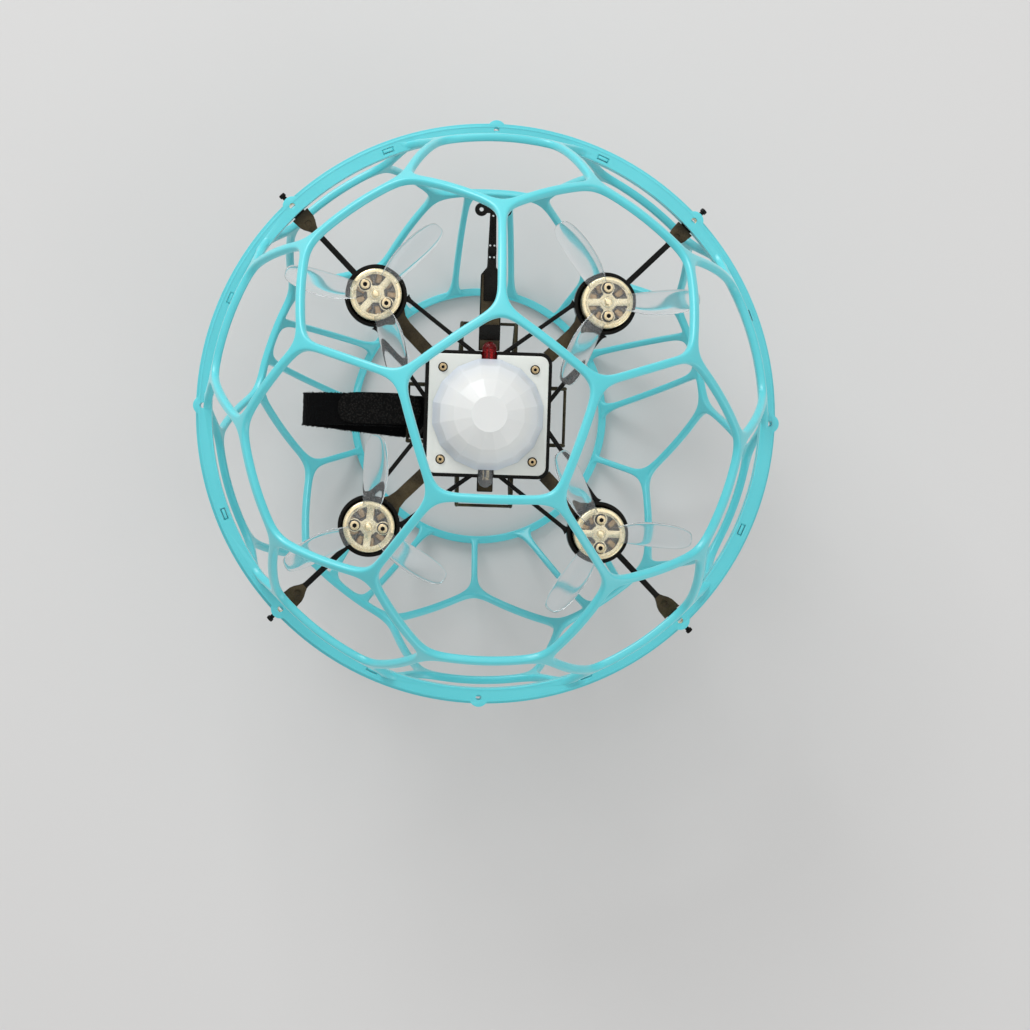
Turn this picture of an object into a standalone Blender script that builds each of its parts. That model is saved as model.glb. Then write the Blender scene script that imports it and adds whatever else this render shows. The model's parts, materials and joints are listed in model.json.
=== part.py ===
"""A small quadcopter in a ball cage, built as separate named pieces.

Units are metres and +Z is up, along the propeller shafts. The drone stands on
the open ring at the bottom of its lower cage, with the ring's flat underside at
z = 0 and its centre at the origin. The front is towards -Y and the rear towards
+Y, so the right side, seen from above with the front away, is towards -X.
Heights of the airframe are given from the ball's equator.
"""

import math

import bmesh
import bpy
from mathutils import Matrix, Vector

# ---- driving dimensions ------------------------------------------------------
CAGE_R = 0.0961  # middle of the cage's wall, from the ball's centre
WALL = 0.0026  # how thick the lattice is, towards the centre
STRUT_UPPER = 0.0029  # how wide a strut of the upper cage is
STRUT_LOWER = 0.0023
FILLET = 0.005  # the webs where three struts meet
RING_R = 0.0471  # middle of the open ring that the drone stands on
EQUATOR = 0.0855  # height of the ball's equator above the floor

RIM_GAP = 0.0013  # from the equator to either rim
RIM_H = 0.0022
RIM_UPPER = (0.0954, 0.1000)  # inner and outer radius of the upper rim
RIM_LOWER = (0.0956, 0.1012)
TAB_PITCH_R = 0.0986  # where the rim's eight holes are
TAB_R = 0.0033
TAB_HOLE_R = 0.0010
TABS = 8
CLIP_R = 0.0974  # middle of the windows that clip the two rims together
CLIP = (0.0018, 0.0042)  # a clip window, along the radius and along the rim
HOOK = (0.0010, 0.0034)
RING_H = 0.0030  # height of the standing ring's flat section
RING_PROUD = 0.0002  # how far it stands out beyond the lattice
RIM_STEPS = 48
RING_STEPS = 32

TUB = 0.0440  # side of the square tub
TUB_CORNER = 0.0040
TUB_WALL = 0.0013
TUB_FLOOR = 0.0012
POST_R = 0.0020
SCREW_HOLE_R = 0.0011
TUB_Z = (-0.0060, 0.0027)
PLATE = 0.0415
PLATE_CORNER = 0.0030
PLATE_Z = (0.0030, 0.0045)
SCREW_PITCH = 0.0160  # the plate's screws are this far from both middle lines
DOME_Z = 0.0048
DOME_RINGS = ((0.01965, 0.0), (0.0170, 0.0086), (0.0124, 0.0133), (0.0063, 0.0166))
DOME_SIDES = 16
DOME_WALL = 0.0012
LED_R = 0.0025
LED_Z = 0.0020
LED_TIP = 0.0254  # how far the lights reach from the middle
LED_BACK = 0.0168

MOTOR = 0.0400  # each motor's place, from both middle lines
CUP_R = (0.00965, 0.01085)
CUP_Z = (-0.0040, 0.0012)
BELL_R = 0.0089
BELL_Z = (0.0015, 0.0095)
PROP_R = 0.03175
HUB_R = 0.00765
HUB_Z = (0.0101, 0.0128)
SCREW_OFFSET = 0.00485  # a propeller's two screws, from the shaft
CLEAR = 0.0003  # the gap that neighbouring pieces keep
PAST = 0.0020  # how far a cutter runs past the surface that it cuts

ARM_START = 0.0293  # from the middle of the tub, along the diagonal
ARM_W = 0.0046
ARM_Z = (-0.0035, 0.0005)
ROD_W = 0.0020
ROD_END = 0.0866
FLARE_Z = (-0.0010, 0.0010)
EYELET_R = 0.00295
EYELET_HOLE_R = 0.0016
EYELET_TOP = 0.0002
BRACE_W = 0.0015
BRACE_Z = (-0.0026, -0.0006)
BASKET_BAR = 0.0012
BASKET_TOP = -0.0069
BATTERY_HALF = (0.0100, 0.0210)
BATTERY_Z = (-0.0203, -0.0079)
STRAP_THICK = 0.0012
STRAP_HALF_W = 0.0058

# Where each motor sits (x sign, y sign), its propeller's rest angle and its turn.
MOTORS = {
    "rear_right": (-1, 1, 50, 1),
    "rear_left": (1, 1, 2, -1),
    "front_right": (-1, -1, 85, -1),
    "front_left": (1, -1, 0, 1),
}

# ---- collections and materials ----------------------------------------------
for old in list(bpy.data.objects):
    bpy.data.objects.remove(old, do_unlink=True)

drone = bpy.data.collections.new("ball_cage_quadcopter")
bpy.context.scene.collection.children.link(drone)


def material(name, colour, roughness, metallic=0.0, alpha=1.0):
    made = bpy.data.materials.new(name)
    made.use_nodes = True
    shader = made.node_tree.nodes["Principled BSDF"]
    shader.inputs["Base Color"].default_value = (*colour, 1.0)
    shader.inputs["Roughness"].default_value = roughness
    shader.inputs["Metallic"].default_value = metallic
    shader.inputs["Alpha"].default_value = alpha
    return made


TURQUOISE = material("turquoise_plastic", (0.10, 0.62, 0.68), 0.35)
SMOKE = material("smoke_plastic", (0.05, 0.045, 0.035), 0.25, alpha=0.85)
WHITE = material("white_plastic", (0.80, 0.82, 0.80), 0.40)
MILKY = material("milky_plastic", (0.82, 0.85, 0.86), 0.30)
RED_LENS = material("red_lens", (0.35, 0.01, 0.01), 0.08, alpha=0.8)
CLEAR_LENS = material("clear_lens", (0.75, 0.76, 0.78), 0.05, alpha=0.5)
CLEAR_BLADE = material("clear_plastic", (0.85, 0.88, 0.90), 0.08, alpha=0.3)
GOLD = material("gold_anodised", (0.72, 0.52, 0.30), 0.30, metallic=1.0)
COPPER = material("copper_windings", (0.60, 0.28, 0.14), 0.40, metallic=1.0)
BRASS = material("brass", (0.75, 0.60, 0.38), 0.30, metallic=1.0)
STEEL = material("screw_steel", (0.45, 0.44, 0.42), 0.35, metallic=1.0)
BOARD = material("green_board", (0.03, 0.12, 0.06), 0.50)
BLACK_CLOTH = material("black_webbing", (0.012, 0.012, 0.012), 0.95)
WRAP = material("battery_wrap", (0.05, 0.07, 0.10), 0.45)


# ---- modelling helpers -------------------------------------------------------
def keep(name, bm, finish):
    """A finished piece from a bmesh, in the object's own collection."""
    bmesh.ops.remove_doubles(bm, verts=bm.verts, dist=1e-6)
    bmesh.ops.recalc_face_normals(bm, faces=bm.faces)
    mesh = bpy.data.meshes.new(name)
    bm.to_mesh(mesh)
    bm.free()
    mesh.materials.append(finish)
    piece = bpy.data.objects.new(name, mesh)
    drone.objects.link(piece)
    return piece


def boolean(bm, tool, operation):
    """The first bmesh joined with or cut by the second; both are used up."""
    pair = []
    for source in (bm, tool):
        bmesh.ops.recalc_face_normals(source, faces=source.faces)
        mesh = bpy.data.meshes.new("part")
        source.to_mesh(mesh)
        source.free()
        part = bpy.data.objects.new("part", mesh)
        drone.objects.link(part)
        pair.append(part)
    step = pair[0].modifiers.new("boolean", "BOOLEAN")
    step.operation = operation
    step.solver = "EXACT"
    step.object = pair[1]
    evaluated = pair[0].evaluated_get(bpy.context.evaluated_depsgraph_get())
    result = bmesh.new()
    result.from_mesh(evaluated.to_mesh())
    evaluated.to_mesh_clear()
    for part in pair:
        mesh = part.data
        bpy.data.objects.remove(part, do_unlink=True)
        bpy.data.meshes.remove(mesh)
    bmesh.ops.remove_doubles(result, verts=result.verts, dist=2e-6)
    bmesh.ops.dissolve_degenerate(result, edges=result.edges, dist=2e-6)
    return result


def union(bm, *tools):
    for tool in tools:
        bm = boolean(bm, tool, "UNION")
    return bm


def cut(bm, *tools):
    for tool in tools:
        bm = boolean(bm, tool, "DIFFERENCE")
    return bm


def together(*parts):
    """Several bmeshes that do not touch, as one."""
    result = bmesh.new()
    for part in parts:
        mesh = bpy.data.meshes.new("part")
        part.to_mesh(mesh)
        part.free()
        result.from_mesh(mesh)
        bpy.data.meshes.remove(mesh)
    return result


def moved(bm, matrix):
    bmesh.ops.transform(bm, matrix=matrix, verts=bm.verts)
    return bm


def block(x, y, z):
    """A box between two values on each axis."""
    bm = bmesh.new()
    bmesh.ops.create_cube(bm, size=1.0)
    size = Matrix.Diagonal((x[1] - x[0], y[1] - y[0], z[1] - z[0], 1.0))
    middle = Matrix.Translation(((x[0] + x[1]) / 2, (y[0] + y[1]) / 2, (z[0] + z[1]) / 2))
    return moved(bm, middle @ size)


def rounded_block(side, corner, z, segments=3):
    """A square plate with round upright corners."""
    half = side / 2
    bm = block((-half, half), (-half, half), z)
    upright = [e for e in bm.edges if abs(e.verts[0].co.z - e.verts[1].co.z) > 1e-6]
    bmesh.ops.bevel(
        bm, geom=upright, offset=corner, segments=segments, profile=0.5, affect="EDGES"
    )
    return bm


def cylinder(radius, z, sides, place=(0.0, 0.0)):
    bm = bmesh.new()
    bmesh.ops.create_cone(
        bm, cap_ends=True, segments=sides, radius1=radius, radius2=radius, depth=z[1] - z[0]
    )
    return moved(bm, Matrix.Translation((place[0], place[1], (z[0] + z[1]) / 2)))


def turned(profile, steps, closed=True):
    """A solid turned about Z from (radius, height) points; a closed profile makes a ring."""
    bm = bmesh.new()
    points = [bm.verts.new((r, 0.0, z)) for r, z in profile]
    pairs = list(zip(points, points[1:]))
    if closed:
        pairs.append((points[-1], points[0]))
    edges = [bm.edges.new(pair) for pair in pairs]
    bmesh.ops.spin(
        bm,
        geom=points + edges,
        axis=(0, 0, 1),
        cent=(0, 0, 0),
        steps=steps,
        angle=2 * math.pi,
        use_merge=True,
    )
    bmesh.ops.remove_doubles(bm, verts=bm.verts, dist=1e-6)
    bmesh.ops.recalc_face_normals(bm, faces=bm.faces)
    return bm


def bar(start, end, width, z):
    """A flat bar between two points of the ground plan."""
    a, b = Vector(start), Vector(end)
    along = b - a
    turn = math.atan2(along.y, along.x)
    bm = block((0.0, along.length), (-width / 2, width / 2), z)
    return moved(bm, Matrix.Translation((a.x, a.y, 0.0)) @ Matrix.Rotation(turn, 4, "Z"))


def prism(outline, z):
    """A flat outline of (x, y) points, given a height."""
    bm = bmesh.new()
    face = bm.faces.new([bm.verts.new((x, y, z[0])) for x, y in outline])
    raised = bmesh.ops.extrude_face_region(bm, geom=[face])["geom"]
    top = [v for v in raised if isinstance(v, bmesh.types.BMVert)]
    bmesh.ops.translate(bm, verts=top, vec=(0.0, 0.0, z[1] - z[0]))
    bmesh.ops.recalc_face_normals(bm, faces=bm.faces)
    return bm


def four_ways(make):
    """One shape for each motor, turned to its own corner from the +X +Y one."""
    return together(*(moved(make(), Matrix.Rotation(math.radians(90 * k), 4, "Z")) for k in range(4)))


def round_about(make, count, start=0.0):
    turn = 360 / count
    return together(
        *(
            moved(make(), Matrix.Rotation(math.radians(start + turn * k), 4, "Z"))
            for k in range(count)
        )
    )


# ---- the ball's lattice ------------------------------------------------------
def football():
    """A truncated icosahedron with a pentagon at each pole and a corner towards +Y."""
    bm = bmesh.new()
    bmesh.ops.create_icosphere(bm, subdivisions=1, radius=1.0)
    bmesh.ops.bevel(
        bm, geom=bm.verts, offset=100 / 3, offset_type="PERCENT", segments=1, affect="VERTICES"
    )
    return moved(bm, Matrix.Rotation(math.radians(90), 4, "Z"))


def rounded_window(corners, inset):
    """The window in one face: for each corner, the points where its fillet starts, bends and ends."""
    window = []
    for i, corner in enumerate(corners):
        ahead = (corners[(i + 1) % len(corners)] - corner).normalized()
        back = (corners[i - 1] - corner).normalized()
        angle = ahead.angle(back)
        point = corner + (ahead + back) * (inset / math.sin(angle))
        reach = FILLET / math.tan(angle / 2)
        inward = (ahead + back).normalized()
        middle = point + inward * (FILLET / math.sin(angle / 2) - FILLET)
        window.append((point + back * reach, middle, point + ahead * reach))
    return window


def lattice(strut, floor_z):
    """The struts of one half of the ball as a sheet on the sphere, above floor_z."""
    solid = football()
    bm = bmesh.new()

    def vert(co):
        return bm.verts.new(co.normalized() * CAGE_R)

    for face in solid.faces:
        corners = [v.co.normalized() * CAGE_R for v in face.verts]
        window = rounded_window(corners, strut / 2)
        count = len(corners)
        for i in range(count):
            here, there = corners[i], corners[(i + 1) % count]
            leave, arrive = window[i][2], window[(i + 1) % count][0]
            outer, inner = (here + there) / 2, (leave + arrive) / 2
            bm.faces.new([vert(p) for p in (here, outer, inner, leave)])
            bm.faces.new([vert(p) for p in (outer, there, arrive, inner)])
            bm.faces.new([vert(p) for p in (here, window[i][2], window[i][1])])
            bm.faces.new([vert(p) for p in (here, window[i][1], window[i][0])])
    solid.free()
    bmesh.ops.remove_doubles(bm, verts=bm.verts, dist=1e-5)
    bmesh.ops.bisect_plane(
        bm,
        geom=bm.verts[:] + bm.edges[:] + bm.faces[:],
        plane_co=(0, 0, floor_z),
        plane_no=(0, 0, 1),
        clear_inner=True,
    )
    bmesh.ops.recalc_face_normals(bm, faces=bm.faces)
    return thickened(bm)


def thickened(bm):
    """A sheet on the sphere given the cage's wall thickness, half to each side."""
    mesh = bpy.data.meshes.new("sheet")
    bm.to_mesh(mesh)
    bm.free()
    sheet = bpy.data.objects.new("sheet", mesh)
    drone.objects.link(sheet)
    solid = sheet.modifiers.new("wall", "SOLIDIFY")
    solid.thickness = WALL
    solid.offset = 0.0
    evaluated = sheet.evaluated_get(bpy.context.evaluated_depsgraph_get())
    result = bmesh.new()
    result.from_mesh(evaluated.to_mesh())
    evaluated.to_mesh_clear()
    bpy.data.objects.remove(sheet, do_unlink=True)
    bpy.data.meshes.remove(mesh)
    bmesh.ops.recalc_face_normals(result, faces=result.faces)
    return result


def on_sphere(x, y):
    """The point of the ball's upper half over a point of the ground plan."""
    return Vector((x, y, math.sqrt(CAGE_R**2 - x * x - y * y)))


def arc_strut(start, end, width, steps=4):
    """A strut along the sphere between two of its points."""
    a, b = start.normalized(), end.normalized()
    side = a.cross(b).normalized() * (width / 2)
    bm = bmesh.new()
    rows = []
    for i in range(steps + 1):
        middle = a.slerp(b, i / steps) * CAGE_R
        rows.append([bm.verts.new(middle - side), bm.verts.new(middle + side)])
    for low, high in zip(rows, rows[1:]):
        bm.faces.new((low[0], low[1], high[1], high[0]))
    return thickened(bm)


def rim(radii):
    """A flat rim with its eight drilled tabs, just above the equator."""
    z = (RIM_GAP, RIM_GAP + RIM_H)
    ring = turned(
        ((radii[0], z[0]), (radii[1], z[0]), (radii[1], z[1]), (radii[0], z[1])), RIM_STEPS
    )
    tabs = round_about(lambda: cylinder(TAB_R, z, 12, (TAB_PITCH_R, 0.0)), TABS)
    drill_z = (z[0] - PAST, z[1] + PAST)
    drills = round_about(lambda: cylinder(TAB_HOLE_R, drill_z, 8, (TAB_PITCH_R, 0.0)), TABS)
    return cut(union(ring, tabs), drills)


def standing_ring():
    """The open ring at the pole of the lower cage; its outer face is flat to stand on."""
    inner = RING_R - WALL / 2
    outer = RING_R + WALL / 2 + RING_PROUD
    top, foot = EQUATOR - RING_H, EQUATOR
    return turned(((inner, top), (outer, top), (outer, foot), (inner, foot)), RING_STEPS)


def at_the_clips(size, z):
    """Eight blocks round the rim, where its two halves clip together."""
    half_r, half_w = size[0] / 2, size[1] / 2
    across = (CLIP_R - half_r, CLIP_R + half_r)
    return round_about(lambda: block(across, (-half_w, half_w), z), TABS, 180 / TABS)


def radial_struts():
    """The five pairs of struts from the standing ring to the lattice, about the pole."""
    ring_x = 0.0110
    link_x, link_y = 0.00745, 0.0814
    ring_y = math.sqrt(RING_R**2 - ring_x**2)
    struts = []
    for k in range(5):
        turn = Matrix.Rotation(math.radians(36 + 72 * k), 4, "Z")
        for side in (-1, 1):
            start, end = on_sphere(side * ring_x, ring_y), on_sphere(side * link_x, link_y)
            struts.append(moved(arc_strut(start, end, STRUT_LOWER), turn))
    return together(*struts)


def upper_cage():
    shell = lattice(STRUT_UPPER, RIM_GAP + RIM_H / 2)
    shell = union(shell, rim(RIM_UPPER))
    shell = cut(shell, at_the_clips(CLIP, (0.0, RIM_GAP + RIM_H + PAST)))
    return keep("upper_cage", moved(shell, Matrix.Translation((0, 0, EQUATOR))), TURQUOISE)


def lower_cage():
    """Made the same way up as the upper cage, then turned over about the X axis."""
    shell = lattice(STRUT_LOWER, RIM_GAP + RIM_H / 2)
    shell = union(shell, standing_ring())
    opening = cylinder(RING_R - WALL / 2 + 0.0001, (CAGE_R * 0.6, CAGE_R * 1.1), RING_STEPS)
    shell = union(cut(shell, opening), radial_struts())
    shell = union(shell, rim(RIM_LOWER))
    shell = moved(shell, Matrix.Rotation(math.radians(180), 4, "X"))
    hook_z = (-RIM_GAP - RIM_H / 2, RIM_GAP + RIM_H - 0.0002)
    shell = union(shell, at_the_clips(HOOK, hook_z))
    return keep("lower_cage", moved(shell, Matrix.Translation((0, 0, EQUATOR))), TURQUOISE)


# ---- airframe ----------------------------------------------------------------
def at_equator(name, bm, finish):
    """Keeps a piece whose heights were given from the equator."""
    return keep(name, moved(bm, Matrix.Translation((0, 0, EQUATOR))), finish)


def tub():
    """The open square box in the middle, with its four screw posts and two light notches."""
    box = rounded_block(TUB, TUB_CORNER, TUB_Z)
    floor = TUB_Z[0] + TUB_FLOOR
    above = TUB_Z[1] + PAST
    at_screw = (SCREW_PITCH, SCREW_PITCH)
    hollow = rounded_block(TUB - 2 * TUB_WALL, TUB_CORNER - TUB_WALL, (floor, above))
    posts = four_ways(lambda: cylinder(POST_R, (TUB_Z[0] + TUB_FLOOR / 2, TUB_Z[1]), 10, at_screw))
    drills = four_ways(lambda: cylinder(SCREW_HOLE_R, (floor + PAST, above), 8, at_screw))
    notch_x = LED_R + CLEAR + 0.0001
    notch = block((-notch_x, notch_x), (-TUB, TUB), (LED_Z - LED_R - CLEAR, above))
    return cut(union(cut(box, hollow), posts), drills, notch)


def arm_end():
    """The flare at the end of an outer rod, with its eyelet and its mushroom peg, along +X."""
    low = FLARE_Z[0]
    half = ROD_W / 2
    outline = [(ROD_END - 0.0004, half), (0.0885, 0.0014), (0.0912, 0.0029), (0.0948, 0.0034)]
    outline += [(x, -y) for x, y in reversed(outline)]
    flare = prism(outline, FLARE_Z)
    eyelet = cylinder(EYELET_R, (low, EYELET_TOP), 12, (TAB_PITCH_R, 0.0))
    neck = block((0.0940, 0.0975), (-0.0022, 0.0022), (low, EYELET_TOP))
    peg = block((0.1010, 0.1032), (-0.0006, 0.0006), (-0.0009, 0.0001))
    head = moved(cylinder(0.0011, (0.0, 0.0014), 8), Matrix.Rotation(math.radians(90), 4, "Y"))
    head = moved(head, Matrix.Translation((0.1030, 0.0, -0.0002)))
    drill = cylinder(EYELET_HOLE_R, (low - PAST, EYELET_TOP + PAST), 8, (TAB_PITCH_R, 0.0))
    return cut(union(flare, neck, eyelet, peg, head), drill)


def corner_arm():
    """One arm along +X: the cup for the motor, the rod beyond it and the flare at its end."""
    cup_x = MOTOR * math.sqrt(2)
    low, high = CUP_Z
    near, far = cup_x - CUP_R[0] - 0.0004, cup_x + CUP_R[0] + 0.0004
    cup = cylinder(CUP_R[1], CUP_Z, 24, (cup_x, 0.0))
    inner = cylinder(CUP_R[0], (low + TUB_FLOOR, high + PAST), 24, (cup_x, 0.0))
    vent = cylinder(0.0028, (low - PAST, high), 10, (cup_x, 0.0))
    arm = block((ARM_START, near), (-ARM_W / 2, ARM_W / 2), ARM_Z)
    rod = block((far, ROD_END), (-ROD_W / 2, ROD_W / 2), FLARE_Z)
    return union(cut(union(cup, arm), inner, vent), rod, arm_end())


def braces():
    """The two thin braces of the +X +Y motor cup, to the middles of the tub's two sides."""
    start = Vector((TUB / 2 - 0.0004, 0.0050))
    aim = Vector((0.0450, 0.0365))
    along = (aim - start).normalized()
    # The brace ends inside the wall of the motor's cup.
    centre = Vector((MOTOR, MOTOR))
    off = centre - start
    nearest = off.dot(along)
    across = (off - along * nearest).length
    reach = nearest - math.sqrt(CUP_R[1] ** 2 - across**2) + 0.0006
    end = start + along * reach
    mirrored = (Vector((start.y, start.x)), Vector((end.y, end.x)))
    return together(bar(start, end, BRACE_W, BRACE_Z), bar(*mirrored, BRACE_W, BRACE_Z))


def main_frame():
    diagonal = Matrix.Rotation(math.radians(45), 4, "Z")
    arms = four_ways(lambda: moved(corner_arm(), diagonal))
    front_y = -TUB / 2
    front_tongue = block((-0.0028, 0.0028), (front_y - 0.0050, front_y + 0.0005), (-0.0030, -0.0016))
    at_equator("main_frame", union(tub(), arms, four_ways(braces), front_tongue), SMOKE)


def rear_boom():
    """The long tongue at the rear, with two small eyelets at its end."""
    z = (-0.0030, -0.0012)
    wide, narrow = 0.0037, 0.0015
    start, shoulder, waist, end = TUB / 2 + CLEAR, 0.0500, 0.0525, 0.0714
    eyelet_x = 0.00415
    outline = [(wide, start), (wide, shoulder), (narrow, waist), (narrow, end + 0.0010)]
    outline += [(-x, y) for x, y in reversed(outline)]
    cross = block((-eyelet_x, eyelet_x), (end - 0.0010, end + 0.0010), z)
    bosses = together(*(block((-0.0019, 0.0019), (y, y + 0.0014), z) for y in (0.0545, 0.0583)))
    eyelets = together(*(cylinder(0.0023, z, 12, (x, end)) for x in (-eyelet_x, eyelet_x)))
    tall = (z[0] - PAST, z[1] + PAST)
    holes = together(*(cylinder(0.0007, tall, 8, (x, end)) for x in (-eyelet_x, eyelet_x)))
    boom = union(prism(outline, z), cross, eyelets, bosses)
    at_equator("rear_boom", cut(boom, holes), SMOKE)


def top_plate():
    plate = rounded_block(PLATE, PLATE_CORNER, PLATE_Z)
    across = (-LED_R - 0.0002, LED_R + 0.0002)
    tall = (PLATE_Z[0] - PAST, PLATE_Z[1] + PAST)
    inner = LED_BACK - 0.0002
    notches = together(block(across, (inner, PLATE), tall), block(across, (-PLATE, -inner), tall))
    drills = four_ways(lambda: cylinder(SCREW_HOLE_R, tall, 8, (SCREW_PITCH, SCREW_PITCH)))
    at_equator("top_plate", cut(plate, notches, drills), WHITE)


def screw(name, head_r, head_z, shank_r, shank_z, place, finish):
    shaft = cylinder(shank_r, (shank_z, head_z[0] + 0.0002), 6, place)
    at_equator(name, union(cylinder(head_r, head_z, 8, place), shaft), finish)


def plate_screws():
    seat = PLATE_Z[1] + 0.0001
    head_z = (seat, seat + 0.0007)
    for number, (x, y) in enumerate(((-1, 1), (1, 1), (-1, -1), (1, -1)), 1):
        place = (x * SCREW_PITCH, y * SCREW_PITCH)
        screw(f"plate_screw_{number}", 0.0013, head_z, 0.0007, -0.0020, place, BRASS)


def dome_light():
    """A faceted shell, open underneath."""
    outer = [(r, DOME_Z + h) for r, h in DOME_RINGS]
    top = outer[-1][1]
    inner = [(r - DOME_WALL, max(h - DOME_WALL, 0.0) + DOME_Z) for r, h in DOME_RINGS]
    outline = outer + [(0.0, top)]
    hollow = inner + [(0.0, inner[-1][1])]
    profile = outline + list(reversed(hollow))
    turn = Matrix.Rotation(math.radians(180 / DOME_SIDES), 4, "Z")
    at_equator("dome_light", moved(turned(profile, DOME_SIDES), turn), MILKY)


def light_board():
    under, over = DOME_Z + 0.0001, DOME_Z + 0.0010
    chip_z = (over - 0.0002, over + 0.0014)
    disc = cylinder(0.0160, (under, over), 20)
    chips = round_about(lambda: block((0.0085, 0.0125), (-0.0018, 0.0018), chip_z), 4)
    at_equator("light_board", union(disc, chips), BOARD)


def flight_board():
    """A cross-shaped board that clears the screw posts, with its chip and four sockets."""
    under, over = -0.0036, -0.0026
    chip_half = 0.0045
    wide, narrow = (-0.0185, 0.0185), (-0.0132, 0.0132)
    chip_x = (-chip_half, chip_half)
    board = union(block(wide, narrow, (under, over)), block(narrow, wide, (under, over)))
    chip = block(chip_x, chip_x, (under + 0.0005, over + 0.0010))
    socket_z = (under + 0.0005, over + 0.0012)
    sockets = four_ways(lambda: block((0.0100, 0.0150), (-0.0040, 0.0040), socket_z))
    at_equator("flight_board", union(board, chip, sockets), BOARD)


def edge_light(name, side, finish):
    """A 5 mm light lying in the plate's notch, its round tip outwards."""
    nose = LED_TIP - LED_R
    profile = [(0.0, LED_TIP)]
    for degrees in (30, 60, 90):
        angle = math.radians(degrees)
        profile.append((LED_R * math.sin(angle), nose + LED_R * math.cos(angle)))
    profile += [(LED_R, LED_BACK), (0.0, LED_BACK)]
    lamp = turned(profile, 14, closed=False)
    lay = Matrix.Rotation(math.radians(-90 * side), 4, "X")
    at_equator(name, moved(lamp, Matrix.Translation((0, 0, LED_Z)) @ lay), finish)


def arm_insert(name, angle):
    """The gold eyelet pressed into the end of an arm."""
    bore, tube, flange = 0.0008, 0.0013, 0.0026
    low, seat, top = FLARE_Z[0], EYELET_TOP + CLEAR, EYELET_TOP + CLEAR + 0.0005
    profile = ((bore, low), (tube, low), (tube, seat), (flange, seat), (flange, top), (bore, top))
    eyelet = moved(turned(profile, 10), Matrix.Translation((TAB_PITCH_R, 0, 0)))
    at_equator(name, moved(eyelet, Matrix.Rotation(math.radians(angle), 4, "Z")), GOLD)


# ---- battery -----------------------------------------------------------------
def band(route, thick, half_width, closed):
    """A flat band that follows (x, z) points, its width along Y, with mitred corners."""
    middle = [Vector(p) for p in route]
    count = len(middle)
    bm = bmesh.new()
    rows = []
    for i, point in enumerate(middle):
        before = (point - middle[i - 1]).normalized() if closed or i else None
        after = (middle[(i + 1) % count] - point).normalized() if closed or i < count - 1 else before
        before = before or after
        along = (before + after).normalized()
        out = Vector((-along.y, along.x)) * (thick / 2 / max(along.dot(after), 0.5))
        corners = ((point - out, -1), (point + out, -1), (point + out, 1), (point - out, 1))
        rows.append([bm.verts.new((p.x, side * half_width, p.y)) for p, side in corners])
    for low, high in zip(rows, rows[1:] + rows[:1] if closed else rows[1:]):
        for k in range(4):
            bm.faces.new((low[k], low[(k + 1) % 4], high[(k + 1) % 4], high[k]))
    if not closed:
        bm.faces.new(rows[0])
        bm.faces.new(rows[-1])
    bmesh.ops.recalc_face_normals(bm, faces=bm.faces)
    return bm


def hoop(half_length, plane, bottom, depth):
    """One bent bar under the tub, in the X-Z plane at y = plane; bottom is its half length below."""
    top = BASKET_TOP
    half_route = ((0.0200, top), (half_length, top), (half_length, top - 0.0030), (bottom, -depth))
    route = [(-x, z) for x, z in half_route] + list(reversed(half_route))
    return moved(band(route, BASKET_BAR, BASKET_BAR / 2, False), Matrix.Translation((0, plane, 0)))


def battery_basket():
    """Two pairs of crossing hoops, tied near the top by a thin bar at each end."""
    across_x, across_y = 0.0275, 0.0100
    long_x, long_y = 0.0095, 0.0320
    quarter = Matrix.Rotation(math.radians(90), 4, "Z")
    across = together(*(hoop(across_x, y, 0.0115, 0.0215) for y in (-across_y, across_y)))
    lengthwise = (hoop(long_y, x, 0.0225, 0.0218) for x in (-long_x, long_x))
    lengthwise = together(*(moved(bars, quarter) for bars in lengthwise))
    low = (-0.0093, -0.0083)
    half = 0.0005
    tie_y = (-across_y - 0.0001, across_y + 0.0001)
    tie_x = (-long_x - 0.0001, long_x + 0.0001)
    ties = [block((x - half, x + half), tie_y, low) for x in (-across_x, across_x)]
    ties += [block(tie_x, (y - half, y + half), low) for y in (-long_y, long_y)]
    at_equator("battery_basket", union(across, lengthwise, together(*ties)), SMOKE)


def battery_pack():
    half_x, half_y = BATTERY_HALF
    pack = block((-half_x, half_x), (-half_y, half_y), BATTERY_Z)
    bmesh.ops.bevel(pack, geom=pack.edges[:], offset=0.0015, segments=1, affect="EDGES")
    at_equator("battery_pack", pack, WRAP)


def battery_strap():
    """The strap's band as seen along Y: round the battery and out to the right as a flat loop."""
    top, under = -0.0070, -0.0234
    route = (
        (0.0090, top),
        (0.0120, -0.0084),
        (0.0138, -0.0120),
        (0.0138, -0.0180),
        (0.0134, -0.0222),
        (0.0116, under),
        (-0.0120, under),
        (-0.0190, -0.0220),
        (-0.0300, -0.0180),
        (-0.0420, -0.0152),
        (-0.0540, -0.0140),
        (-0.0620, -0.0132),
        (-0.0646, -0.0112),
        (-0.0630, -0.0090),
        (-0.0560, -0.0076),
        (-0.0440, -0.0070),
        (-0.0300, top),
    )
    at_equator("battery_strap", band(route, STRAP_THICK, STRAP_HALF_W, True), BLACK_CLOTH)


# ---- motors and propellers ---------------------------------------------------
def stator(name, place):
    """The still part of a motor: its base, core and windings."""
    bore, waist, core, base = 0.0016, 0.0035, 0.0076, 0.0080
    low = CUP_Z[0] + TUB_FLOOR + CLEAR
    profile = (
        (bore, low),
        (base, low),
        (base, 0.0010),
        (waist, 0.0014),
        (waist, 0.0026),
        (core, 0.0030),
        (core, 0.0070),
        (0.0030, 0.0078),
        (bore, 0.0078),
    )
    at_equator(name, moved(turned(profile, 12), place), COPPER)


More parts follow.
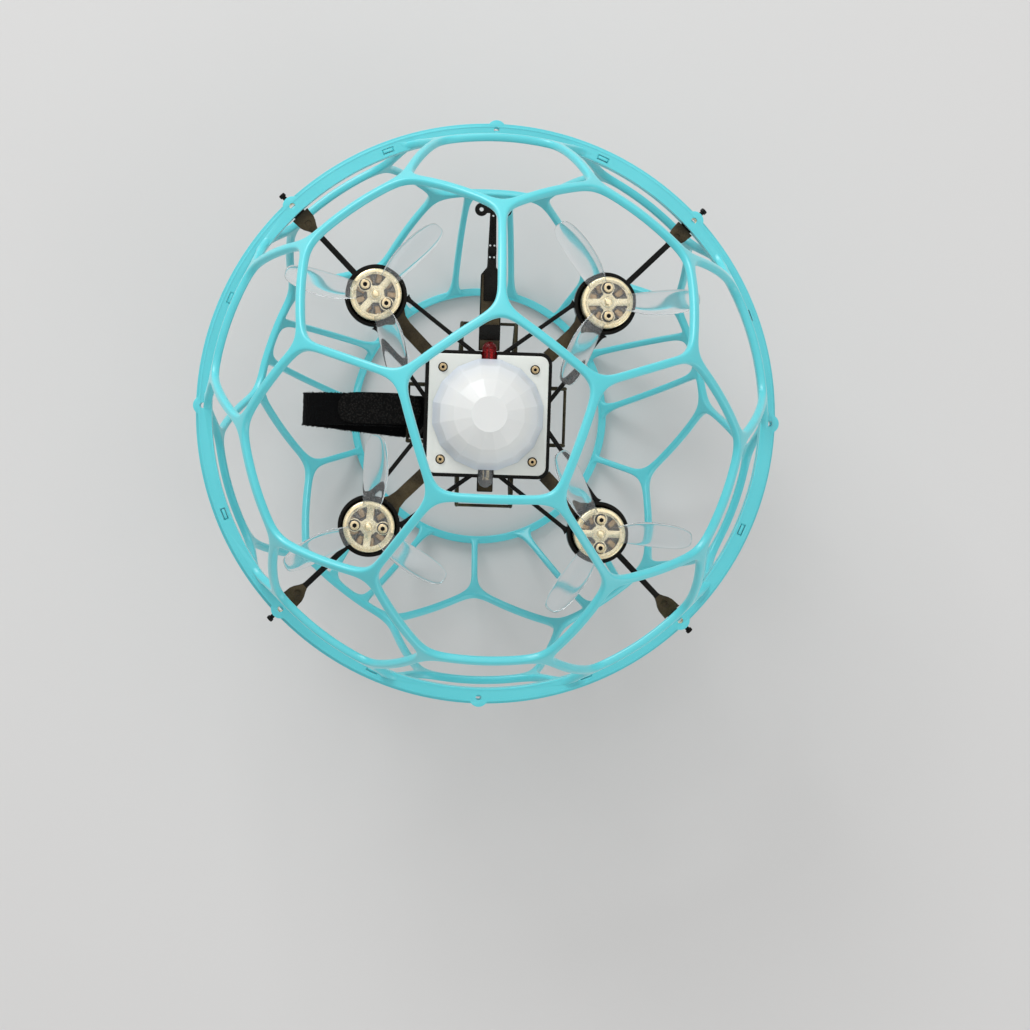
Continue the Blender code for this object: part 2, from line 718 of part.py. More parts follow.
def bell(name, place):
    """The can that turns, its spoked top and its shaft in one piece."""
    low, top = BELL_Z
    inside = BELL_R - 0.0007
    under = top - 0.0012
    shaft, shaft_top, shaft_foot = 0.0011, top + 0.0042, -0.0018
    edge = 0.0006
    profile = (
        (0.0, shaft_top),
        (shaft, shaft_top),
        (shaft, top),
        (BELL_R - edge, top),
        (BELL_R, top - edge),
        (BELL_R, low),
        (inside, low),
        (inside, under),
        (shaft, under),
        (shaft, shaft_foot),
        (0.0, shaft_foot),
    )
    can = turned(profile, 16, closed=False)
    through = (under - 0.0010, top + 0.0010)
    slot = ((0.0062, -0.0013), (0.0079, -0.0018), (0.0079, 0.0018), (0.0062, 0.0013))
    windows = round_about(lambda: prism(slot, through), 6)
    at_equator(name, moved(cut(can, windows, screw_holes(through)), place), GOLD)


def screw_holes(z):
    """Cutters for a propeller's two screws."""
    spots = ((0.0, -SCREW_OFFSET), (0.0, SCREW_OFFSET))
    return together(*(cylinder(SCREW_HOLE_R, z, 8, spot) for spot in spots))


def blade(turn):
    """One blade along +X, swept and twisted; turn is +1 or -1 for the two hands."""
    stations = (
        (0.0060, 0.0062, 24),
        (0.0110, 0.0086, 26),
        (0.0180, 0.0094, 21),
        (0.0250, 0.0088, 16),
        (0.0295, 0.0070, 13),
        (PROP_R, 0.0034, 12),
    )
    thick = 0.0005
    middle_z = (HUB_Z[0] + HUB_Z[1]) / 2
    bm = bmesh.new()
    rows = []
    for x, chord, pitch in stations:
        tilt = math.radians(pitch) * turn
        lean = Vector((0, math.cos(tilt), math.sin(tilt))) * (chord / 2)
        up = Vector((0, -math.sin(tilt), math.cos(tilt))) * thick
        centre = Vector((x, 0, middle_z))
        rows.append([bm.verts.new(centre + p) for p in (-lean, up, lean, -up)])
    bm.faces.new(rows[0])
    bm.faces.new(rows[-1])
    for low, high in zip(rows, rows[1:]):
        for k in range(4):
            bm.faces.new((low[k], low[(k + 1) % 4], high[(k + 1) % 4], high[k]))
    bmesh.ops.recalc_face_normals(bm, faces=bm.faces)
    return bm


def propeller(name, turn, place):
    low, top = HUB_Z
    bore = 0.0014
    hub = turned(((bore, low), (HUB_R, low), (HUB_R, top), (bore, top)), 14)
    blades = round_about(lambda: blade(turn), 3)
    drilled = cut(union(hub, blades), screw_holes((low - PAST, top + PAST)))
    at_equator(name, moved(drilled, place), CLEAR_BLADE)


def motor(name, x_side, y_side, angle, turn):
    middle = Matrix.Translation((x_side * MOTOR, y_side * MOTOR, 0))
    place = middle @ Matrix.Rotation(math.radians(angle), 4, "Z")
    stator(f"stator_{name}", middle)
    bell(f"bell_{name}", place)
    propeller(f"propeller_{name}", turn, place)
    seat = HUB_Z[1] + CLEAR
    head_z = (seat, seat + 0.0010)
    foot = BELL_Z[1] - 0.0008
    for letter, side in (("a", -1), ("b", 1)):
        spot = place @ Vector((0.0, side * SCREW_OFFSET, 0.0))
        screw_name = f"prop_screw_{name}_{letter}"
        screw(screw_name, 0.00165, head_z, 0.0008, foot, (spot.x, spot.y), STEEL)


# ---- assembly ----------------------------------------------------------------
upper_cage()
lower_cage()
main_frame()
rear_boom()
top_plate()
plate_screws()
dome_light()
light_board()
flight_board()
edge_light("rear_led", 1, RED_LENS)
edge_light("front_led", -1, CLEAR_LENS)
battery_basket()
battery_pack()
battery_strap()
for motor_name, (x_side, y_side, angle, turn) in MOTORS.items():
    motor(motor_name, x_side, y_side, angle, turn)
    arm_insert(f"arm_insert_{motor_name}", math.degrees(math.atan2(y_side, x_side)))
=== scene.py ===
# %% [markdown]
# # A quadcopter in a ball cage
#
# This lesson builds the looks of a small quadcopter that flies inside a lattice ball.
# A plain working model of it already exists, with every part at its real size and place.
# Each cell below makes one piece, or one finish, over that model, and never moves a part.
# Sizes are written in millimetres, and the helpers turn them into metres. +Z is up along the
# propeller shafts, and the front is towards -Y.

# %% Load the working model
import json
import math
import random
import bmesh
import bpy
from mathutils import Euler, Matrix, Vector


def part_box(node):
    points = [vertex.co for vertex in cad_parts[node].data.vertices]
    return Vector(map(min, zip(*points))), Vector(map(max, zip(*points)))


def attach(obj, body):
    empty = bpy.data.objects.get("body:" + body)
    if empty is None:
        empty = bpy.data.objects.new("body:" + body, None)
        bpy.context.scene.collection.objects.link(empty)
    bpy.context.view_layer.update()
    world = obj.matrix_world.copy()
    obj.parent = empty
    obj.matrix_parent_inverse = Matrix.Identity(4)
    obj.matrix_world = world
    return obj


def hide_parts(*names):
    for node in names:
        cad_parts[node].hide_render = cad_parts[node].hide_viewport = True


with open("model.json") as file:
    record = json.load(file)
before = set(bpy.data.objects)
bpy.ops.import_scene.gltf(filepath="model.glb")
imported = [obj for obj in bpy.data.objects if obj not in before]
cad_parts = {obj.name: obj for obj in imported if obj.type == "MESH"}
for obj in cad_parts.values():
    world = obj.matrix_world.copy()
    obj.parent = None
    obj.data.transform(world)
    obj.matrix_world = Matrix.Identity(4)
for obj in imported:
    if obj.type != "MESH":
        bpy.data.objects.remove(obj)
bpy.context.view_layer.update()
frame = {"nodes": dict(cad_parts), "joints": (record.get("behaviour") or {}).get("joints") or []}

MM = 0.001
print("nodes:", len(frame["nodes"]))

# %% [markdown]
# ## Where things are
#
# The places come from the working model: the equator of the ball lies between the two rims,
# and the four motor shafts are the model's joints. Heights on the airframe are easiest to
# think of from the equator, so that is where the first value comes from.

# %% Places that every piece is worked out from
RIM_GAP = 1.3
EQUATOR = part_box("upper_cage")[0].z / MM - RIM_GAP
CENTRE = Vector((0.0, 0.0, EQUATOR)) * MM
SHAFTS = {
    joint["child"].removeprefix("rotor_"): Vector((*joint["pos_m"][:2], CENTRE.z))
    for joint in frame["joints"]
}
print("equator at", round(EQUATOR, 2), "mm; shafts:", sorted(SHAFTS))

# %% [markdown]
# ## Small tools
#
# Modelling by operators always goes the same way: add a primitive, go into edit mode, select
# what the next step acts on, and run the step. These few helpers do the selecting, so that
# each piece's own cell can be read as a list of modelling steps.


# %% Helpers for objects
def only(piece):
    """Makes one object the active one, with nothing else selected."""
    if bpy.context.object and bpy.context.object.mode != "OBJECT":
        bpy.ops.object.mode_set(mode="OBJECT")
    bpy.ops.object.select_all(action="DESELECT")
    piece.select_set(True)
    bpy.context.view_layer.objects.active = piece
    return piece


def added(name):
    """Names the object that a primitive operator has just made."""
    piece = bpy.context.object
    piece.name = name
    piece.data.name = name
    return piece


def settle(piece):
    """Puts the object's place, turn and size into its mesh, so its origin is at the world's."""
    only(piece)
    bpy.ops.object.transform_apply(location=True, rotation=True, scale=True)
    return piece


def apply_modifier(piece, kind, **values):
    """Adds one modifier with the given settings, and applies it."""
    only(piece)
    step = piece.modifiers.new(kind.lower(), kind)
    for key, value in values.items():
        setattr(step, key, value)
    bpy.ops.object.modifier_apply(modifier=step.name)
    return piece


def merged(piece, *others):
    """Joins other objects into one mesh, without fusing their surfaces."""
    only(piece)
    for other in others:
        other.select_set(True)
    bpy.context.view_layer.objects.active = piece
    bpy.ops.object.join()
    return piece


def boolean(piece, tool, operation):
    """Fuses or cuts a closed piece with another closed one, which is used up."""
    apply_modifier(piece, "BOOLEAN", object=tool, operation=operation, solver="MANIFOLD")
    bpy.data.objects.remove(tool, do_unlink=True)
    return piece


def fused(piece, *tools):
    """Adds closed pieces to another, surface and all."""
    for tool in tools:
        boolean(piece, tool, "UNION")
    return piece


def carved(piece, *tools):
    """Takes closed pieces away from another."""
    for tool in tools:
        boolean(piece, tool, "DIFFERENCE")
    return piece


def copy_of(piece, matrix=None):
    """A copy with its own mesh, moved by a matrix about the world's origin."""
    twin = piece.copy()
    twin.data = piece.data.copy()
    bpy.context.collection.objects.link(twin)
    if matrix is not None:
        twin.data.transform(matrix)
        if matrix.determinant() < 0:
            twin.data.flip_normals()
    return twin


def around(piece, count, start=0.0):
    """A ring of copies about the Z axis, joined into one mesh; the first one is used up."""
    turns = [Matrix.Rotation(math.radians(start + 360 * k / count), 4, "Z") for k in range(count)]
    ring = [copy_of(piece, turn) for turn in turns]
    bpy.data.objects.remove(piece, do_unlink=True)
    return merged(*ring)


# %% Helpers for edit mode
def edit(piece, mode="FACE", select="DESELECT"):
    """Opens a piece in edit mode, with nothing or everything selected."""
    only(piece)
    bpy.ops.object.mode_set(mode="EDIT")
    bpy.ops.mesh.select_mode(type=mode)
    bpy.ops.mesh.select_all(action=select)


def done():
    bpy.ops.object.mode_set(mode="OBJECT")


def push(x, y, z):
    """Extrudes what is selected, by so many millimetres on each axis."""
    bpy.ops.mesh.extrude_region_move(TRANSFORM_OT_translate={"value": Vector((x, y, z)) * MM})


def pick(test, mode="FACE"):
    """Selects the faces, edges or corners of the mesh in edit mode that pass a test."""
    bm = bmesh.from_edit_mesh(bpy.context.object.data)
    bpy.ops.mesh.select_mode(type=mode)
    bpy.ops.mesh.select_all(action="DESELECT")
    parts = {"FACE": bm.faces, "EDGE": bm.edges, "VERT": bm.verts}[mode]
    count = 0
    for part in parts:
        if test(part):
            part.select_set(True)
            count += 1
    bm.select_flush_mode()
    bmesh.update_edit_mesh(bpy.context.object.data)
    return count


def middle(part):
    """The middle of a face or an edge, in millimetres."""
    return sum((v.co for v in part.verts), Vector()) / len(part.verts) / MM


def face_outwards(piece):
    edit(piece, select="SELECT")
    bpy.ops.mesh.remove_doubles(threshold=1e-6)
    bpy.ops.mesh.normals_make_consistent(inside=False)
    done()
    return piece


def smooth(piece, degrees=35):
    only(piece)
    bpy.ops.object.shade_smooth_by_angle(angle=math.radians(degrees))
    return piece


def rounded(piece, width, segments=2, degrees=35):
    """Rounds the sharp edges of a finished solid."""
    return apply_modifier(
        piece,
        "BEVEL",
        width=width * MM,
        segments=segments,
        limit_method="ANGLE",
        angle_limit=math.radians(degrees),
        use_clamp_overlap=True,
        harden_normals=False,
    )


# %% Helpers for primitives
def rod(name, radius, z, sides=48, place=(0.0, 0.0)):
    """An upright cylinder between two heights."""
    bpy.ops.mesh.primitive_cylinder_add(
        vertices=sides,
        radius=radius * MM,
        depth=(z[1] - z[0]) * MM,
        location=Vector((*place, (z[0] + z[1]) / 2)) * MM,
    )
    return settle(added(name))


def slab(name, x, y, z):
    """A box between two values on each axis."""
    bpy.ops.mesh.primitive_cube_add(size=1.0)
    piece = added(name)
    piece.scale = Vector((x[1] - x[0], y[1] - y[0], z[1] - z[0])) * MM
    piece.location = Vector((x[0] + x[1], y[0] + y[1], z[0] + z[1])) * MM / 2
    return settle(piece)


def move(piece, matrix):
    """Moves a finished mesh; its object stays at the origin."""
    piece.data.transform(matrix)
    return piece


def shift(x, y, z):
    """A move by so many millimetres on each axis."""
    return Matrix.Translation(Vector((x, y, z)) * MM)


def turn_about(axis, degrees):
    return Matrix.Rotation(math.radians(degrees), 4, axis)


def raise_to_equator(piece):
    return move(piece, Matrix.Translation(CENTRE))


# %% [markdown]
# ## Camera, floor and light
#
# The ball is seen almost straight down its shafts with a long lens, leaning only a few
# degrees. The floor is a pale matt sheet, and the light is a wide soft source overhead with
# weaker ones at the sides, as in a small product studio.

# %% Camera
LENS = 89.3
LEAN = Euler((math.radians(1.76), math.radians(2.92), math.radians(-1.76)), "XYZ")
look = LEAN.to_matrix().transposed()
seen_from = Vector((9.7, -35.0, 891.0)) * MM
bpy.ops.object.camera_add(location=CENTRE + look @ seen_from, rotation=look.to_euler())
camera = bpy.context.object
camera.data.lens = LENS
camera.data.sensor_width = 36.0
camera.data.clip_start = 0.01
bpy.context.scene.camera = camera
print("camera at", [round(v, 3) for v in camera.location])

# %% Floor
bpy.ops.mesh.primitive_plane_add(size=6.0, location=(0, 0, 0))
floor = added("studio_floor")
paper = bpy.data.materials.new("floor_paper")
paper.use_nodes = True
paper_shader = paper.node_tree.nodes["Principled BSDF"]
paper_shader.inputs["Base Color"].default_value = (0.60, 0.60, 0.60, 1)
paper_shader.inputs["Roughness"].default_value = 0.95
paper_shader.inputs["Specular IOR Level"].default_value = 0.1
floor.data.materials.append(paper)


# %% Lights
def softbox(name, place, aim, size, power, tint=(1.0, 1.0, 1.0)):
    bpy.ops.object.light_add(type="AREA", location=place)
    lamp = bpy.context.object
    lamp.name = name
    lamp.rotation_euler = (Vector(aim) - Vector(place)).to_track_quat("-Z", "Y").to_euler()
    lamp.data.shape = "RECTANGLE"
    lamp.data.size, lamp.data.size_y = size
    lamp.data.energy = power
    lamp.data.color = tint
    return lamp


softbox("key_light", (-0.60, 1.25, 0.85), CENTRE, (0.9, 0.7), 17)
softbox("fill_light", (1.05, -0.95, 0.65), CENTRE, (1.0, 0.8), 5)
softbox("top_light", (0.10, 0.55, 1.75), CENTRE, (1.6, 1.6), 5)
world = bpy.data.worlds.new("studio")
world.use_nodes = True
world.node_tree.nodes["Background"].inputs["Color"].default_value = (1.0, 0.985, 0.97, 1)
world.node_tree.nodes["Background"].inputs["Strength"].default_value = 0.66
bpy.context.scene.world = world
bpy.context.scene.view_settings.view_transform = "Standard"


# %% [markdown]
# ## How the finishes are made
#
# Every finish is a small node tree: a Principled shader, a slow noise that shifts the colour
# a little, and a fine noise that breaks up the gloss and gives a shallow bump. Moulded plastic
# has a much finer grain than it seems, so the scales are given as features per metre.


# %% Helpers for materials
def finish(name, colour, roughness, metallic=0.0, more=()):
    """A Principled material; more sets other sockets by their names."""
    made = bpy.data.materials.new(name)
    made.use_nodes = True
    shader = made.node_tree.nodes["Principled BSDF"]
    plain = {"Base Color": (*colour, 1), "Roughness": roughness, "Metallic": metallic}
    for socket, value in {**plain, **dict(more)}.items():
        shader.inputs[socket].default_value = value
    return made, made.node_tree, shader


def noise(tree, scale, detail=4.0, stretch=(1, 1, 1)):
    """A noise pattern that sits on the piece, in its own coordinates."""
    where = tree.nodes.new("ShaderNodeTexCoord")
    turn = tree.nodes.new("ShaderNodeMapping")
    turn.inputs["Scale"].default_value = stretch
    pattern = tree.nodes.new("ShaderNodeTexNoise")
    pattern.inputs["Scale"].default_value = scale
    pattern.inputs["Detail"].default_value = detail
    tree.links.new(where.outputs["Object"], turn.inputs["Vector"])
    tree.links.new(turn.outputs["Vector"], pattern.inputs["Vector"])
    return pattern.outputs["Fac"]


def spread(tree, value, low, high, start=0.3, end=0.7):
    """Stretches a pattern's values to run between two numbers."""
    node = tree.nodes.new("ShaderNodeMapRange")
    node.inputs["From Min"].default_value = start
    node.inputs["From Max"].default_value = end
    node.inputs["To Min"].default_value = low
    node.inputs["To Max"].default_value = high
    tree.links.new(value, node.inputs["Value"])
    return node.outputs["Result"]


def drifting(tree, shader, value, first, second, start=0.3, end=0.7):
    """Lets the colour run from one shade to another as a pattern's value rises."""
    node = tree.nodes.new("ShaderNodeMix")
    node.data_type = "RGBA"
    node.inputs[6].default_value = (*first, 1)
    node.inputs[7].default_value = (*second, 1)
    tree.links.new(spread(tree, value, 0, 1, start, end), node.inputs[0])
    tree.links.new(node.outputs[2], shader.inputs["Base Color"])


def bump(tree, shader, value, height, strength=1.0):
    node = tree.nodes.new("ShaderNodeBump")
    node.inputs["Strength"].default_value = strength
    node.inputs["Distance"].default_value = height
    tree.links.new(value, node.inputs["Height"])
    tree.links.new(node.outputs["Normal"], shader.inputs["Normal"])


def grained(tree, shader, roughness, scale, height):
    """Moulded grain: a fine noise that moves the roughness and lifts a shallow bump."""
    fine = noise(tree, scale, 3)
    tree.links.new(spread(tree, fine, *roughness), shader.inputs["Roughness"])
    bump(tree, shader, fine, height, 0.6)


def wear(piece, material):
    """Gives the whole piece one material."""
    piece.data.materials.clear()
    piece.data.materials.append(material)
    return piece


def place_piece(piece, material, body, slot, *stands_for):
    """Gives a finished piece its material and the body it rides on, and hides the parts it stands for.
    """
    wear(piece, material)
    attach(piece, body)
    if stands_for:
        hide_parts(*stands_for)
    print(piece.name, len(piece.data.polygons), "faces")
    return piece


def on_airframe(piece, material, slot, *stands_for, degrees=35):
    """Raises a piece that was modelled about the equator, shades it and places it."""
    smooth(raise_to_equator(piece), degrees)
    return place_piece(piece, material, "airframe", slot, *stands_for)


# %% [markdown]
# ## Turquoise plastic
#
# The cage is moulded in a tough satin nylon. It takes light a little below its surface, so
# its shaded sides stay a bright blue-green and its edges look pale.

# %% Turquoise finish
satin = {
    "Subsurface Weight": 0.25,
    "Subsurface Radius": (0.6, 1.6, 1.8),
    "Subsurface Scale": 0.0012,
    "Specular IOR Level": 0.75,
    "Coat Weight": 0.30,
    "Coat Roughness": 0.35,
    "Sheen Weight": 0.32,
    "Sheen Roughness": 0.45,
}
turquoise, tree, shader = finish("turquoise_nylon", (0.070, 0.550, 0.610), 0.40, more=satin)
drifting(tree, shader, noise(tree, 28, 2), (0.062, 0.530, 0.590), (0.080, 0.575, 0.635))
grained(tree, shader, (0.36, 0.46), 2600, 0.00002)

# %% [markdown]
# ## The ball's lattice
#
# The ball is a football: pentagons and hexagons with the struts along their sides. The
# quickest way to one is an icosahedron with its corners bevelled off a third of the way along
# each edge. Every side is cut into short lengths and laid on the sphere by a Cast modifier.
#
# Each face is then inset by half a strut and its middle deleted, which leaves a net of strips.
# Solidify gives the net a wall, and Subdivision Surface rounds the bars and fills the corners
# where three struts meet, the way a mould-maker would web them. That modifier draws a square
# bar in by a twelfth, so the strips start that much wider and thicker.

# %% The football
CAGE_R = 96.1
WALL = 2.6
ROUNDING = 12 / 11
LENGTHS = 4
BELT = 1.5


def on_the_sphere(net):
    ball = {"cast_type": "SPHERE", "factor": 1.0, "size": CAGE_R * MM, "use_radius_as_size": False}
    return apply_modifier(net, "CAST", **ball)


def football(name):
    """A football with a pentagon at each pole, as faces whose edges lie on the sphere."""
    bpy.ops.mesh.primitive_ico_sphere_add(subdivisions=1, radius=CAGE_R * MM)
    ball = settle(added(name))
    move(ball, turn_about("Z", 90))
    edit(ball, select="SELECT")
    bpy.ops.mesh.bevel(offset_type="PERCENT", offset_pct=100 / 3, segments=1, affect="VERTICES")
    bpy.ops.mesh.select_all(action="SELECT")
    bpy.ops.mesh.subdivide(number_cuts=LENGTHS - 1)
    done()
    return on_the_sphere(ball)


def level(edge, height):
    return all(abs(v.co.z / MM - height) < 0.02 for v in edge.verts)


def cut_level(net, height, keep_above):
    """Cuts the net level, and divides the new long edges so that they can follow the ball."""
    edit(net, select="SELECT")
    removed = {"clear_inner": keep_above, "clear_outer": not keep_above}
    bpy.ops.mesh.bisect(plane_co=(0, 0, height * MM), plane_no=(0, 0, 1), **removed)
    pick(lambda e: level(e, height), "EDGE")
    bpy.ops.mesh.subdivide(number_cuts=2 * LENGTHS)
    done()


def strips(net, width):
    """Leaves a strip along every edge, with half its width to each side."""
    edit(net, select="SELECT")
    half = width * ROUNDING / 2
    bpy.ops.mesh.inset(thickness=half * MM, use_individual=True, use_even_offset=True)
    bpy.ops.mesh.delete(type="FACE")
    done()
    return on_the_sphere(net)


def bars(net, belt_r):
    """Widens the belt to the rim's radius, gives the strips the cage's wall, and rounds them."""
    edit(net, "VERT")
    pick(lambda v: v.co.z / MM < BELT + 1.8, "VERT")
    spread_out = belt_r / CAGE_R
    bpy.ops.transform.resize(value=(spread_out, spread_out, 1), center_override=(0, 0, 0))
    done()
    apply_modifier(net, "SOLIDIFY", thickness=WALL * ROUNDING * MM, offset=0.0)
    face_outwards(net)
    return apply_modifier(net, "SUBSURF", levels=3, render_levels=3)


# %% [markdown]
# ## The rims
#
# Each half of the ball ends in a flat rim with eight drilled tabs, and the halves snap
# together with eight hooks that stand up through eight windows. A rim is a cylinder with a
# hole, the tabs are fused on, and their inside corners are bevelled to the fillets of a mould.

# %% The rim
RIM_H = 2.2
CHANNEL_IN = 0.62
CHANNEL_DEEP = 0.12
TAB_HOLE_AT = 98.6
TAB_R = 3.3
CLIP_AT = 97.4
HALF_STEP = 22.5
UPPER_RIM = (95.4, 100.0)
LOWER_RIM = (95.6, 101.2)
UPPER_STRUT = 2.9
LOWER_STRUT = 2.3
UPPER_BELT_R = 97.2
LOWER_BELT_R = 97.4


def sharp_upright(edge, least):
    """True of an upright edge whose two faces meet at more than so many degrees."""
    a, b = edge.verts[0].co, edge.verts[1].co
    upright = abs(a.z - b.z) > 0.9 * (a - b).length
    return upright and len(edge.link_faces) == 2 and edge.calc_face_angle() > math.radians(least)


def upright_corners(piece, radius, segments=6, least=30):
    """Rounds the sharp upright edges, seen from above as a piece's corners."""
    edit(piece, "EDGE")
    pick(lambda e: sharp_upright(e, least), "EDGE")
    bpy.ops.mesh.bevel(offset=radius * MM, segments=segments, affect="EDGES")
    done()
    return piece


def rim(name, inner, outer):
    """A flat rim above the equator, with eight tabs and their fillets."""
    z = (RIM_GAP, RIM_GAP + RIM_H)
    ring = rod(name, outer, z, 192)
    tabs = around(rod("tab", TAB_R, z, 48, (TAB_HOLE_AT, 0)), 8)
    fused(ring, tabs)
    past = (z[0] - 1, z[1] + 1)
    carved(ring, rod("bore", inner, past, 192))
    upright_corners(ring, 1.1, 5, 25)
    rounded(ring, 0.32, 3, 40)
    channel = rod("channel", outer - CHANNEL_IN, (z[1] - CHANNEL_DEEP, past[1]), 192)
    carved(channel, rod("inside", inner + CHANNEL_IN, (z[0], past[1] + 1), 192))
    carved(ring, channel)
    holes = around(rod("drill", 1.0, past, 24, (TAB_HOLE_AT, 0)), 8)
    return carved(ring, holes)


def clip_blocks(size, z):
    """Eight blocks round the rim, where the two halves snap together."""
    across = (CLIP_AT - size[0] / 2, CLIP_AT + size[0] / 2)
    block = slab("clip", across, (-size[1] / 2, size[1] / 2), z)
    return around(block, 8, HALF_STEP)


# %% Upper half
upper = football("upper_cage_shell")
cut_level(upper, BELT, True)
bars(strips(upper, UPPER_STRUT), UPPER_BELT_R)
fused(upper, rim("rim", *UPPER_RIM))
carved(upper, clip_blocks((1.8, 4.2), (0.0, 6)))
on_airframe(upper, turquoise, "turquoise_plastic", "upper_cage", degrees=50)

# %% [markdown]
# ## The lower half
#
# The lower half is made the same way up and turned over at the end. Its pole is open: a level
# cut leaves a round edge there, which becomes the ring that the drone stands on. Two planes
# through the middle of the ball cut each of the five faces round the pole, and those cuts
# become the pairs of struts that rise from the ring.

# %% Lower half
RING_R = 47.1
RING_Z = math.sqrt(CAGE_R**2 - RING_R**2)
POLE_FACES = [126 + 72 * k for k in range(5)]


def on_ball(x, y):
    return Vector((x, y, math.sqrt(CAGE_R**2 - x * x - y * y)))


def beside_pole(face, azimuth):
    """True of the pieces of one of the five faces round the pole."""
    spot = middle(face)
    turn = math.degrees(math.atan2(spot.y, spot.x)) - azimuth
    return spot.z > CAGE_R / 2 and abs((turn + 180) % 360 - 180) < 33


lower = football("lower_cage_shell")
cut_level(lower, BELT, True)
cut_level(lower, RING_Z, False)
corners = [v.co.copy() for v in lower.data.vertices if abs(v.co.z / MM - RING_Z) < 0.02]
edit(lower, "VERT")
for corner in corners:
    pick(lambda v: (v.co - corner).length < 0.01 * MM, "VERT")
    stretch = (RING_R - 0.7) * MM / corner.xy.length
    bpy.ops.transform.resize(value=(stretch, stretch, 1), center_override=(0, 0, RING_Z * MM))
for azimuth in POLE_FACES:
    turn = turn_about("Z", azimuth - 90)
    for side in (-1, 1):
        foot = turn @ on_ball(side * 11.0, 45.8)
        head = turn @ on_ball(side * 7.45, 81.4)
        pick(lambda f: beside_pole(f, azimuth))
        bpy.ops.mesh.bisect(plane_co=(0, 0, 0), plane_no=foot.cross(head).normalized())
        bpy.ops.mesh.subdivide(number_cuts=LENGTHS - 1)
done()
bars(strips(on_the_sphere(lower), LOWER_STRUT), LOWER_BELT_R)

half_wall = WALL / 2
standing = rod("standing_ring", RING_R + half_wall + 0.2, (82.5, EQUATOR), 144)
carved(standing, rod("bore", RING_R - half_wall, (80, 90), 144))
rounded(standing, 0.5, 3)
fused(lower, standing, rim("rim", *LOWER_RIM))
move(lower, turn_about("X", 180))
hooks = clip_blocks((1.0, 3.4), (-2.2, 3.3))
rounded(hooks, 0.2)
fused(lower, hooks)
on_airframe(lower, turquoise, "turquoise_plastic", "lower_cage", degrees=50)

# %% [markdown]
# ## Smoke plastic
#
# The airframe is moulded in a smoky see-through plastic. Over something pale its wide flat
# faces look olive brown, while its edges and its thin bars, where one looks through far more
# plastic, are nearly black. Two finishes do that: the dark one is worn by the whole piece, and
# the brown one is laid into the wide faces. A slow noise makes the brown thinner in places.


# %% Smoke finishes
def smoked(name, thin, thick):
    made, tree, shader = finish(name, thin, 0.2, more={"Specular IOR Level": 0.12})
    drifting(tree, shader, noise(tree, 190, 3), thick, thin, 0.35, 0.65)
    grained(tree, shader, (0.22, 0.34), 1800, 0.000015)
    return made


# The dark smoke finish is the frame's own colour, and is also laid into screw sockets, screw wells and
# the bells' grooves as painted shade.
smoke_dark_and_painted_shade = smoked("smoke_dark_and_painted_shade", (0.0050, 0.0045, 0.0034), (0.0022, 0.0020, 0.0015))
smoke_brown = smoked("smoke_brown", (0.060, 0.045, 0.023), (0.027, 0.020, 0.010))
smoke_thin = smoked("smoke_thin", (0.060, 0.052, 0.026), (0.018, 0.015, 0.008))


def inlay(piece, material, test):
    """Gives the faces that pass a test a second finish."""
    piece.data.materials.append(material)
    piece.active_material_index = len(piece.data.materials) - 1
    edit(piece)
    count = pick(test)
    bpy.ops.object.material_slot_assign()
    done()
    print(piece.name, "inlaid faces", count)
    return piece


# %% [markdown]
# ## The main frame
#
# One moulding holds everything: a square tub in the middle, four flat arms with a cup for each
# motor, a thin rod beyond each cup, and a flare with an eyelet at the rod's end. Two braces
# run from each cup to the tub. It is modelled along +X for one corner, with the arm and the
# flare drawn out by extruding an end face and widening it, then copied round in quarter turns.


# %% Tools for flat bars
def drawn_out(piece, half_width, stations):
    """Extrudes a bar's +X end through (x, half width) stations."""
    x = max(v.co.x for v in piece.data.vertices) / MM
    edit(piece)
    pick(lambda f: f.normal.x > 0.9 and middle(f).x > x - 0.01)
    for next_x, next_half in stations:
        push(next_x - x, 0, 0)
        bpy.ops.transform.resize(value=(1, next_half / half_width, 1))
        x, half_width = next_x, next_half
    done()
    return piece


# %% Tub
TUB_HALF = 22.0
TUB_Z = (-6.0, 2.7)
TUB_WALL = 1.3
SCREW_AT = 16.0


def tub():
    box = slab("main_frame_shell", (-TUB_HALF, TUB_HALF), (-TUB_HALF, TUB_HALF), TUB_Z)
    upright_corners(box, 4.0)
    edit(box)
    pick(lambda f: f.normal.z > 0.9)
    bpy.ops.mesh.inset(thickness=TUB_WALL * MM, use_even_offset=True)
    depth = TUB_Z[1] - TUB_Z[0] - 1.2
    push(0, 0, -depth)
    done()
    posts = around(rod("post", 2.0, (TUB_Z[0] + 0.6, TUB_Z[1]), 32, (SCREW_AT, SCREW_AT)), 4)
    drills = around(rod("drill", 1.1, (-3, 5), 24, (SCREW_AT, SCREW_AT)), 4)
    notch = slab("notch", (-2.9, 2.9), (-30, 30), (-0.8, 5))
    fused(box, posts)
    carved(box, drills, notch)
    rounded(box, 0.28, 2, 40)
    return box


# %% One corner
ARM_AT = SHAFTS["rear_left"].xy.length / MM
CUP_OUTER = 10.85
CUP_INNER = 9.65
CUP_Z = (-4.0, 1.2)
INSERT_AT = TAB_HOLE_AT


